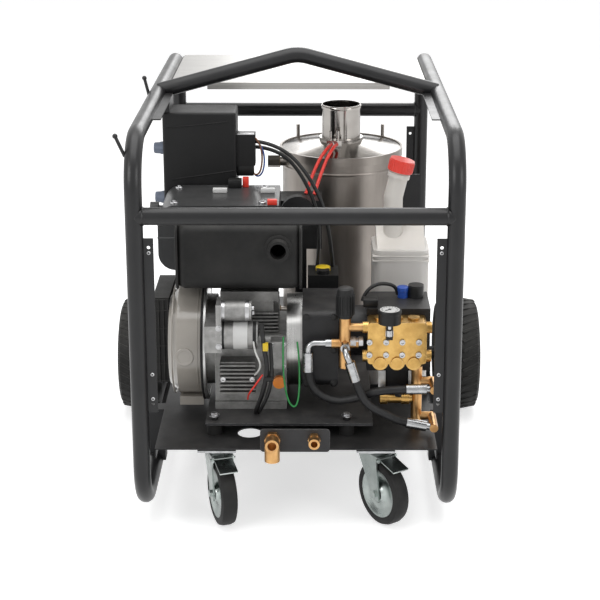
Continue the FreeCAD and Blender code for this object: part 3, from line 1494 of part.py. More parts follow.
# Water inlet and high-pressure outlet on the front bracket
def quick_connections():
    face = "(-trayHalfLength - bracketThick - seatGap)"
    pieces = []
    for name, along, up, bore, hexagon_size, radius, out in (
            ("Inlet", "inletAlong", "inletHeight", "inletBore", "inletHex", "inletRadius", "inletOut"),
            ("Outlet", "outletAlong", "outletHeight", "outletBore", "outletHex", "outletRadius", "outletOut")):
        shank = rod("shank" + name, bore + " - weldGap", "bracketThick * 2 + seatGap",
                    (along, face + " + bracketThick * 2 + seatGap", up), towardsFront)
        nut = hexagon("hex" + name, hexagon_size, "connectHex", (along, face, up), towardsFront)
        barrel = rod("barrel" + name, radius, out + " - seatGap", (along, face, up), towardsFront)
        parts = [shank, nut, barrel]
        if name == "Inlet":
            parts.append(rod("bowl" + name, "inletBowl", "inletDrop + 10",
                             (along, face + " - inletOut + seatGap * 6 + inletBowl", up + " - inletDrop - 10")))
        hollow = rod("bore" + name, bore, "boreDepth", (along, face + " - %s + seatGap + boreDepth" % out, up), towardsFront)
        pieces.append(cut("coupling" + name, fused("couplingWelded" + name, parts), [hollow]))
    keep(grouped("quick_connections", pieces), "quick_connections")


quick_connections()


# Boiler: shell on a skirt, lid with the chimney, clamp band and the heating coil
def boiler():
    centre = ("boilerAlong", "boilerAcross", "0")
    floor = "(boilerFloor + boilerWall)"
    profile = [("skirtRadius", "trayTop + seatGap"), ("skirtRadius", "boilerFloor"), ("boilerRadius", "boilerFloor"),
               ("boilerRadius", "boilerTop"), ("boilerRadius - boilerWall", "boilerTop"),
               ("boilerRadius - boilerWall", floor), ("skirtRadius - boilerWall * 3", floor),
               ("skirtRadius - boilerWall * 3", "trayTop + seatGap")]
    shell = lathe("boilerDrum", profile, centre)
    coil_radius = "(coilOuter - coilTube)"
    low, high = "coilLow", "coilLow + coilPitch * coilTurns"
    holes = [rod("boilerHole" + name, "coilSleeve + seatGap", "boilerRadius * 1.2",
                 ("boilerAlong", "coilEndAcross", up), towardsLeft) for name, up in (("Low", low), ("High", high))]
    keep(cut("boiler_shell", shell, holes), "boiler_shell")

    flange = "(boilerTop + 15)"
    base = "(boilerTop + seatGap)"
    lid = lathe("lidDish", [("lidRadius", base), ("lidRadius", flange), ("collarRadius", "lidTop"),
                            ("collarRadius", "lidTop + collarHeight"), ("chimneyRadius", "lidTop + collarHeight"),
                            ("chimneyRadius", "chimneyTop"), ("chimneyRadius - chimneyWall", "chimneyTop"),
                            ("chimneyRadius - chimneyWall", "lidTop - lidSheet"), ("lidRadius - lidSheet", flange + " - lidSheet"),
                            ("lidRadius - lidSheet", base)], centre)
    holder = block("electrodeBlock",
                   ("electrodeAlong - electrodeWidth / 2", "electrodeAcross - electrodeDepth / 2", "lidTop - lidSheet * 4"),
                   ("electrodeAlong + electrodeWidth / 2", "electrodeAcross + electrodeDepth / 2", "electrodeTop"))
    pins = [rod("electrodePin" + name, "electrodePin", "electrodePinHeight + 2",
                ("electrodeAlong + (%d) * electrodeWidth / 4" % side, "electrodeAcross", "electrodeTop - 2"))
            for side, name in ((-1, "Left"), (1, "Right"))]
    keep(fused("boiler_lid", [lid, holder] + pins), "boiler_lid")

    ring = lathe("bandRing", [("lidRadius + seatGap", "bandLow"), ("bandRadius", "bandLow"), ("bandRadius", "bandHigh"),
                              ("lidRadius + seatGap", "bandHigh")], centre)
    parts = [ring]
    for side, name in ((-1, "Left"), (1, "Right")):
        reach = "(bandRadius + bandBolt / 2)"
        parts.append(rod("bandBolt" + name, "bandBolt", "bandBoltTop - bandLow",
                         ("boilerAlong + (%d) * %s * cos(bandBoltAngle)" % (side, reach),
                          "boilerAcross + %s * sin(bandBoltAngle)" % reach, "bandLow")))
    keep(fused("clamp_band", parts), "clamp_band")

    turn = math.degrees(math.asin(value("(boilerAcross - coilEndAcross) / " + coil_radius)))
    helix = doc.addObject("Part::Helix", "coilPath")
    bind(helix, "Pitch", "coilPitch")
    bind(helix, "Height", "coilPitch * coilTurns")
    bind(helix, "Radius", coil_radius)
    place(helix, ("boilerAlong", "boilerAcross", "coilLow"), Rotation(Vector(0, 0, 1), 180 + turn))
    doc.recompute()
    inside = "boilerAlong - sqrt(%s * %s - (boilerAcross - coilEndAcross) * (boilerAcross - coilEndAcross))" % (
        coil_radius, coil_radius)
    first = helix.Shape.Edges[0]
    heading = Rotation(Vector(0, 0, 1), first.tangentAt(first.FirstParameter))
    tube = doc.addObject("Part::Sweep", "coilWound")
    tube.Sections = [circle_section("coilSection", "coilTube", (inside, "coilEndAcross", "coilLow"), heading)]
    tube.Spine = (helix, ["Edge%d" % (number + 1) for number in range(len(helix.Shape.Edges))])
    tube.Solid = True
    tube.Frenet = True
    parts = [tube]
    for name, up in (("Low", low), ("High", high)):
        parts.append(rod("coilEnd" + name, "coilSleeve", "(%s) + coilTube / 2 - coilOut" % inside,
                         (inside + " + coilTube / 2", "coilEndAcross", up), towardsLeft))
        parts.append(hexagon("coilNut" + name, "coilNutRadius", "coilNut", ("coilOut", "coilEndAcross", up), towardsLeft))
    keep(fused("heating_coil", parts), "heating_coil")


boiler()


# Burner with its fan drum, and the fuel unit, each on a post from the tray
def burner_unit():
    middle_x, middle_y = "(burnerLeft + burnerRight) / 2", "(burnerFront + burnerBack) / 2"
    case = block("burnerCase", ("burnerLeft", "burnerFront", "burnerLow"), ("burnerRight", "burnerBack", "burnerHigh"))
    drum = rod("burnerDrum", "drumRadius", "burnerFront - drumFront + 1", ("drumAlong", "burnerFront + 1", "drumHeight"),
               towardsFront)
    post = block("burnerPost", (middle_x + " - burnerPost / 2", middle_y + " - burnerPost / 2", "trayTop + seatGap"),
                 (middle_x + " + burnerPost / 2", middle_y + " + burnerPost / 2", "burnerLow + 1"))
    foot = block("burnerFoot", (middle_x + " - burnerPost", middle_y + " - burnerPost", "trayTop + seatGap"),
                 (middle_x + " + burnerPost", middle_y + " + burnerPost", "trayTop + seatGap + traySheet * 2"))
    keep(fused("burner_unit", [case, drum, post, foot]), "burner_unit")


def fuel_pump():
    middle_x, middle_y = "(fuelLeft + fuelRight) / 2", "(fuelFront + fuelBack) / 2"
    case = block("fuelCase", ("fuelLeft", "fuelFront", "fuelLow"), ("fuelRight", "fuelBack", "fuelHigh"))
    neck = rod("fuelNeckTube", "fuelNeck", "fuelNeckHeight + 1",
               (middle_x, "fuelFront + fuelNeck + 4", "fuelHigh - 1"))
    post = block("fuelPost", (middle_x + " - burnerPost / 2", middle_y + " - burnerPost / 2", plateTop + " + seatGap"),
                 (middle_x + " + burnerPost / 2", middle_y + " + burnerPost / 2", "fuelLow + 1"))
    keep(fused("fuel_pump", [case, neck, post]), "fuel_pump")


burner_unit()
fuel_pump()


# Control box with the relay module on its side, and two knobs
def control_box():
    case = rounded("controlCase", block("controlBlock", ("controlLeft", "controlFront", "controlLow"),
                                        ("controlRight", "controlBack", "controlHigh")), "controlRound", lambda edge: True)
    module = block("relayModule", ("controlRight - 2", "controlFront + controlRound * 2", "moduleLow"),
                   ("moduleRight", "controlFront + controlRound * 2 + moduleDepth", "moduleHigh"))
    stems = [rod("dialBore" + name, "dialStem + shaftRun", "dialStemIn + 4", ("controlLeft - 1", "dialAcross", up), alongX)
             for name, up in (("Upper", "upperDial"), ("Lower", "lowerDial"))]
    keep(cut("control_box", fused("controlWelded", [case, module]), stems), "control_box")
    for name, up in (("upper", "upperDial"), ("lower", "lowerDial")):
        grip = rod(name + "Grip", "dialRadius", "dialOut", ("controlLeft - seatGap", "dialAcross", up), towardsLeft)
        stem = rod(name + "Stem", "dialStem", "dialStemIn + 2", ("controlLeft + dialStemIn", "dialAcross", up), towardsLeft)
        keep(fused(name + "_control_knob", [grip, stem]), name + "_control_knob")


control_box()


# Detergent bottle with a leaning neck, its cap and its bracket
def detergent_bottle():
    body = rounded("bottleBody", block("bottleBlock", ("bottleLeft", "bottleFront", "bottleLow + seatGap"),
                                       ("bottleRight", "bottleBack", "bottleShoulder")),
                   "bottleRound", lambda edge: runs(edge, 2))
    # the shoulder slopes up to a flat top at the back
    foot = doc.addObject("Part::Plane", "shoulderFoot")
    bind(foot, "Length", "bottleRight - bottleLeft - bottleRound")
    bind(foot, "Width", "bottleBack - bottleFront - bottleRound")
    place(foot, ("bottleLeft + bottleRound / 2", "bottleFront + bottleRound / 2", "bottleShoulder - 1"))
    top = doc.addObject("Part::Plane", "shoulderTop")
    bind(top, "Length", "bottleRight - bottleLeft - shoulderInset * 2")
    bind(top, "Width", "bottleBack - shoulderInset / 2 - shoulderFront")
    place(top, ("bottleLeft + shoulderInset", "shoulderFront", "bottleTop"))
    shoulder = doc.addObject("Part::Loft", "bottleShoulderLoft")
    shoulder.Sections = [foot, top]
    shoulder.Solid = True
    shoulder.Ruled = True
    # the neck rises upright and leans to the right from its bend
    lean_x, lean_z = "(neckTop - neckFoot)", "(neckHigh - neckBend)"
    turn = Rotation(Vector(0, 0, 1), Vector(value(lean_x), 0, value(lean_z)))
    start = ("neckFoot", "neckAcross", "neckBend")
    low = ("neckFoot", "neckAcross", "bottleShoulder")
    length = "sqrt(%s * %s + %s * %s)" % (lean_x, lean_x, lean_z, lean_z)
    neck = fused("bottleNeck", [rod("bottleNeckTop", "neckRadius", length, start, turn),
                                ball("bottleNeckBend", "neckRadius", start),
                                rod("bottleNeckFoot", "neckRadius", "neckBend - bottleShoulder", low)])
    ring_share = "(1 - neckRing * 1.8 / (%s))" % length
    ring = rod("bottleNeckRing", "neckRingRadius", "neckRing * 0.6",
               ("neckFoot + %s * %s" % (lean_x, ring_share), "neckAcross", "neckBend + %s * %s" % (lean_z, ring_share)),
               turn)
    room = rounded("bottleRoom", block("bottleInside", ("bottleLeft + bottleWall", "bottleFront + bottleWall",
                                                        "bottleLow + bottleWall"),
                                       ("bottleRight - bottleWall", "bottleBack - bottleWall",
                                        "bottleShoulder - bottleWall")),
                   "bottleRound - bottleWall", lambda edge: runs(edge, 2))
    bore = "neckRadius - bottleWall * 2"
    throat_low = ("neckFoot", "neckAcross", "bottleShoulder - bottleWall * 3")
    throats = [rod("bottleThroatTop", bore, length + " + bottleWall", start, turn),
               ball("bottleThroatBend", bore, start),
               rod("bottleThroatFoot", bore, "neckBend - bottleShoulder + bottleWall * 3", throat_low)]
    whole = fused("bottleWelded", [body, shoulder, neck, ring])
    keep(cut("detergent_bottle", whole, [room] + throats), "detergent_bottle")

    cap_profile = [("0", "seatGap"), ("neckRadius + seatGap", "seatGap"), ("neckRadius + seatGap", "-neckRing"),
                   ("bottleCap", "-neckRing"), ("bottleCap", "bottleCapHeight - neckRing"), ("0", "bottleCapHeight - neckRing")]
    cap = lathe("bottle_cap", cap_profile, ("neckTop", "neckAcross", "neckHigh"), turn)
    keep(cap, "bottle_cap")


def bottle_bracket():
    left, right = "bottleLeft - cradleMargin", "bottleRight + cradleMargin"
    front, back = "bottleFront - cradleMargin", "bottleBack + cradleMargin"
    base = block("cradleBase", (left, front, "trayTop + seatGap"), (right, back + " + cradleSheet", "bottleLow"))
    edge_front = block("cradleFront", (left, front, "trayTop + seatGap"),
                       (right, front + " + cradleSheet - seatGap", "bottleLow + 20"))
    strap = block("cradleStrap", ("strapLeft", back, "trayTop + seatGap"), ("strapRight", back + " + cradleSheet", "strapTop"))
    keep(fused("bottle_bracket", [base, edge_front, strap]), "bottle_bracket")


detergent_bottle()
bottle_bracket()


# Cables: two red ignition leads and two black control cables
def cables():
    red = value("cableRadius")
    start_y = value("electrodeAcross - electrodeDepth / 2 - seatGap")
    start_z = value("electrodeTop - 10")
    middle = value("electrodeAlong")
    end_dip = 0.65
    burner_top = value("burnerHigh + seatGap") + red * end_dip
    leads = []
    for shift, (end_x, end_y) in ((-7, (20, 0)), (7, (42, -8))):
        start = middle + shift
        leads.append([(start, start_y, start_z), (start - 8, start_y - 50, start_z + 8),
                      (start - 40 + shift / 2, start_y - 112, start_z - 30), (end_x, end_y, burner_top)])
    cords("ignition_cables", [cord_solid("ignition lead", run, red) for run in leads])

    black = value("controlCable")
    module_face = value("moduleRight + seatGap")
    module_y = value("controlFront + controlRound * 2 + moduleDepth / 2")
    module_z = value("moduleHigh")
    unit_top = value("fuelHigh + seatGap") + black * end_dip
    runs_of_cable = [
        [(module_face, module_y - 8, module_z - 20), (-42, module_y - 14, module_z - 26), (42, -90, module_z - 118),
         (82, -118, module_z - 226), (90, -100, unit_top)],
        [(module_face, module_y + 8, module_z - 38), (-45, module_y + 4, module_z - 42), (24, -66, module_z - 124),
         (62, -108, module_z - 230), (50, -96, unit_top)],
    ]
    cords("control_cables", [cord_solid("control cable", run, black) for run in runs_of_cable])


cables()


# Every object is checked before anything is written
doc.recompute()
for item in doc.Objects:
    bad = [word for word in item.State if word in ("Invalid", "Error")]
    if bad:
        raise RuntimeError("%s is %s" % (item.Label, bad))
for item in nodes:
    if item.Shape.isNull() or not item.Shape.isValid() or not item.Shape.Solids:
        raise RuntimeError("%s has no valid solid" % item.Label)
os.makedirs("parts", exist_ok=True)
for item in nodes:
    item.Shape.exportStep("parts/%s.step" % item.Label)
whole = Part.makeCompound([item.Shape for item in nodes]).BoundBox
print("%d nodes, X %.1f..%.1f Y %.1f..%.1f Z %.1f..%.1f" % (
    len(nodes), whole.XMin, whole.XMax, whole.YMin, whole.YMax, whole.ZMin, whole.ZMax))
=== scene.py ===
import math

import bpy
from mathutils import Euler, Matrix, Vector


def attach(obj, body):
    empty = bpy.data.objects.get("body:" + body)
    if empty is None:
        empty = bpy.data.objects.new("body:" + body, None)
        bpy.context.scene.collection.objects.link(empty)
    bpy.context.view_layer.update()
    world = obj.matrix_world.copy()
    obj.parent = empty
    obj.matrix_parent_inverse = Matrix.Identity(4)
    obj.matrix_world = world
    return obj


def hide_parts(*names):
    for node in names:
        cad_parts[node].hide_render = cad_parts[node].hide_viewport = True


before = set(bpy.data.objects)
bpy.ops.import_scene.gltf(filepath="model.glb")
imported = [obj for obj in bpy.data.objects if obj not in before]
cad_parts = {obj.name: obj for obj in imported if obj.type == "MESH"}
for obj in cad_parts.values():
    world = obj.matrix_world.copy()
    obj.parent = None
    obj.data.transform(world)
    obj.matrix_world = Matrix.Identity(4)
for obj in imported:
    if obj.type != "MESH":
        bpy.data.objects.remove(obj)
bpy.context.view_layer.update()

print("frame loaded")

cameraSetup = {
    "place": (0.045, -3.868, 1.700),
    "tilt": 90.0 - 16.331,
    "turn": 0.231,
    "lens": 91.30,
    "shiftX": -0.0156,
    "shiftY": -0.1,
}
lampSetup = {
    "overhead": {"place": (0.0, -0.4, 3.6), "aim": (0.0, 0.0, 0.3), "size": 3.2, "power": 88.0},
    "leftFront": {"place": (-2.6, -2.8, 2.1), "aim": (0.0, 0.0, 0.5), "size": 1.8, "power": 46.0},
    "rightFront": {"place": (2.8, -2.4, 1.7), "aim": (0.0, 0.0, 0.5), "size": 1.6, "power": 30.0},
    "behind": {"place": (0.6, 3.2, 2.4), "aim": (0.0, 0.0, 0.7), "size": 2.0, "power": 40.0},
}
surroundings = {"fill": 0.42, "floorHalf": 30.0, "floorColour": (0.74, 0.74, 0.74, 1.0), "floorLift": 0.62}


def aimAt(thing, target):
    direction = Vector(target) - thing.location
    thing.rotation_euler = direction.to_track_quat("-Z", "Y").to_euler()


def addCamera():
    data = bpy.data.cameras.new("photoCamera")
    data.lens = cameraSetup["lens"]
    data.sensor_width = 36.0
    data.shift_x = cameraSetup["shiftX"]
    data.shift_y = cameraSetup["shiftY"]
    camera = bpy.data.objects.new("photoCamera", data)
    camera.location = cameraSetup["place"]
    camera.rotation_euler = Euler((math.radians(cameraSetup["tilt"]), 0.0, math.radians(cameraSetup["turn"])))
    bpy.context.scene.collection.objects.link(camera)
    bpy.context.scene.camera = camera


def addLamps():
    for name, lamp in lampSetup.items():
        data = bpy.data.lights.new(name, "AREA")
        data.shape = "SQUARE"
        data.size = lamp["size"]
        data.energy = lamp["power"]
        thing = bpy.data.objects.new(name, data)
        thing.location = lamp["place"]
        aimAt(thing, lamp["aim"])
        bpy.context.scene.collection.objects.link(thing)


# camera, glossy and transmission rays see the pale studio
def paleRays(tree):
    path = tree.nodes.new("ShaderNodeLightPath")
    first = tree.nodes.new("ShaderNodeMath")
    first.operation = "MAXIMUM"
    second = tree.nodes.new("ShaderNodeMath")
    second.operation = "MAXIMUM"
    tree.links.new(path.outputs["Is Camera Ray"], first.inputs[0])
    tree.links.new(path.outputs["Is Glossy Ray"], first.inputs[1])
    tree.links.new(first.outputs[0], second.inputs[0])
    tree.links.new(path.outputs["Is Transmission Ray"], second.inputs[1])
    return second.outputs[0]


def addStudio():
    world = bpy.data.worlds.new("paleStudio")
    world.use_nodes = True
    bpy.context.scene.world = world
    tree = world.node_tree
    tree.nodes.clear()
    out = tree.nodes.new("ShaderNodeOutputWorld")
    seen = tree.nodes.new("ShaderNodeBackground")
    seen.inputs["Color"].default_value = (1.0, 1.0, 1.0, 1.0)
    seen.inputs["Strength"].default_value = 1.0
    fill = tree.nodes.new("ShaderNodeBackground")
    fill.inputs["Color"].default_value = (1.0, 1.0, 1.0, 1.0)
    fill.inputs["Strength"].default_value = surroundings["fill"]
    blend = tree.nodes.new("ShaderNodeMixShader")
    tree.links.new(paleRays(tree), blend.inputs[0])
    tree.links.new(fill.outputs[0], blend.inputs[1])
    tree.links.new(seen.outputs[0], blend.inputs[2])
    tree.links.new(blend.outputs[0], out.inputs["Surface"])

    bpy.ops.object.select_all(action="DESELECT")
    bpy.ops.mesh.primitive_plane_add(size=2.0 * surroundings["floorHalf"], location=(0.0, 0.0, 0.0))
    floor = bpy.context.object
    floor.name = "studioFloor"
    paint = bpy.data.materials.new("studioFloorPaint")
    paint.use_nodes = True
    tree = paint.node_tree
    shader = tree.nodes["Principled BSDF"]
    shader.inputs["Base Color"].default_value = surroundings["floorColour"]
    shader.inputs["Roughness"].default_value = 0.6
    shader.inputs["Specular IOR Level"].default_value = 0.2
    lift = tree.nodes.new("ShaderNodeMath")
    lift.operation = "MULTIPLY"
    lift.inputs[1].default_value = surroundings["floorLift"]
    tree.links.new(paleRays(tree), lift.inputs[0])
    shader.inputs["Emission Color"].default_value = (1.0, 1.0, 1.0, 1.0)
    tree.links.new(lift.outputs[0], shader.inputs["Emission Strength"])
    floor.data.materials.append(paint)


bpy.context.scene.view_settings.view_transform = "Standard"
addCamera()
addLamps()
addStudio()
print("studio set")


def newGroup(name, inputs, outputs):
    group = bpy.data.node_groups.new(name, "ShaderNodeTree")
    for label, kind, value in inputs:
        socket = group.interface.new_socket(label, in_out="INPUT", socket_type=kind)
        if value is not None:
            socket.default_value = value
    for label, kind in outputs:
        group.interface.new_socket(label, in_out="OUTPUT", socket_type=kind)
    return group, group.nodes.new("NodeGroupInput"), group.nodes.new("NodeGroupOutput")


def addNode(tree, kind, settings=None, values=None):
    node = tree.nodes.new(kind)
    for key, value in (settings or {}).items():
        setattr(node, key, value)
    for key, value in (values or {}).items():
        node.inputs[key].default_value = value
    return node


def makeMottleGroup():
    group, given, result = newGroup(
        "mottle",
        [("Vector", "NodeSocketVector", None), ("Scale", "NodeSocketFloat", 20.0),
         ("Detail", "NodeSocketFloat", 4.0), ("Contrast", "NodeSocketFloat", 1.0)],
        [("Value", "NodeSocketFloat")],
    )
    noise = addNode(group, "ShaderNodeTexNoise", {"noise_dimensions": "3D"}, {"Roughness": 0.58})
    shift = addNode(group, "ShaderNodeMath", {"operation": "SUBTRACT"}, {1: 0.5})
    gain = addNode(group, "ShaderNodeMath", {"operation": "MULTIPLY"})
    back = addNode(group, "ShaderNodeMath", {"operation": "ADD", "use_clamp": True}, {1: 0.5})
    links = group.links
    links.new(given.outputs["Vector"], noise.inputs["Vector"])
    links.new(given.outputs["Scale"], noise.inputs["Scale"])
    links.new(given.outputs["Detail"], noise.inputs["Detail"])
    links.new(noise.outputs["Fac"], shift.inputs[0])
    links.new(shift.outputs[0], gain.inputs[0])
    links.new(given.outputs["Contrast"], gain.inputs[1])
    links.new(gain.outputs[0], back.inputs[0])
    links.new(back.outputs[0], result.inputs["Value"])
    return group


def makeWearGroup():
    group, given, result = newGroup(
        "edgeWear",
        [("Vector", "NodeSocketVector", None), ("Width", "NodeSocketFloat", 0.0015),
         ("Amount", "NodeSocketFloat", 1.0)],
        [("Mask", "NodeSocketFloat")],
    )
    rounded = addNode(group, "ShaderNodeBevel", {"samples": 4})
    flat = addNode(group, "ShaderNodeNewGeometry")
    dot = addNode(group, "ShaderNodeVectorMath", {"operation": "DOT_PRODUCT"})
    turn = addNode(group, "ShaderNodeMapRange", {"clamp": True},
                   {"From Min": 0.985, "From Max": 0.86, "To Min": 0.0, "To Max": 1.0})
    patch = addNode(group, "ShaderNodeTexNoise", None, {"Scale": 90.0, "Detail": 3.0})
    broken = addNode(group, "ShaderNodeMapRange", {"clamp": True},
                     {"From Min": 0.42, "From Max": 0.62, "To Min": 0.15, "To Max": 1.0})
    first = addNode(group, "ShaderNodeMath", {"operation": "MULTIPLY"})
    second = addNode(group, "ShaderNodeMath", {"operation": "MULTIPLY", "use_clamp": True})
    links = group.links
    links.new(given.outputs["Width"], rounded.inputs["Radius"])
    links.new(rounded.outputs[0], dot.inputs[0])
    links.new(flat.outputs["Normal"], dot.inputs[1])
    links.new(dot.outputs["Value"], turn.inputs["Value"])
    links.new(given.outputs["Vector"], patch.inputs["Vector"])
    links.new(patch.outputs["Fac"], broken.inputs["Value"])
    links.new(turn.outputs[0], first.inputs[0])
    links.new(broken.outputs[0], first.inputs[1])
    links.new(first.outputs[0], second.inputs[0])
    links.new(given.outputs["Amount"], second.inputs[1])
    links.new(second.outputs[0], result.inputs["Mask"])
    return group


def makeDustGroup():
    group, given, result = newGroup(
        "settledDust",
        [("Vector", "NodeSocketVector", None), ("Amount", "NodeSocketFloat", 0.3)],
        [("Mask", "NodeSocketFloat")],
    )
    place = addNode(group, "ShaderNodeNewGeometry")
    parts = addNode(group, "ShaderNodeSeparateXYZ")
    upward = addNode(group, "ShaderNodeMapRange", {"clamp": True},
                     {"From Min": 0.35, "From Max": 1.0, "To Min": 0.0, "To Max": 1.0})
    cloud = addNode(group, "ShaderNodeTexNoise", None, {"Scale": 26.0, "Detail": 5.0, "Roughness": 0.65})
    spread = addNode(group, "ShaderNodeMapRange", {"clamp": True},
                     {"From Min": 0.35, "From Max": 0.75, "To Min": 0.2, "To Max": 1.0})
    first = addNode(group, "ShaderNodeMath", {"operation": "MULTIPLY"})
    second = addNode(group, "ShaderNodeMath", {"operation": "MULTIPLY", "use_clamp": True})
    links = group.links
    links.new(place.outputs["Normal"], parts.inputs[0])
    links.new(parts.outputs["Z"], upward.inputs["Value"])
    links.new(given.outputs["Vector"], cloud.inputs["Vector"])
    links.new(cloud.outputs["Fac"], spread.inputs["Value"])
    links.new(upward.outputs[0], first.inputs[0])
    links.new(spread.outputs[0], first.inputs[1])
    links.new(first.outputs[0], second.inputs[0])
    links.new(given.outputs["Amount"], second.inputs[1])
    links.new(second.outputs[0], result.inputs["Mask"])
    return group


mottleGroup = makeMottleGroup()
wearGroup = makeWearGroup()
dustGroup = makeDustGroup()


def placeGroup(tree, group, values):
    node = tree.nodes.new("ShaderNodeGroup")
    node.node_tree = group
    for key, value in values.items():
        node.inputs[key].default_value = value
    return node


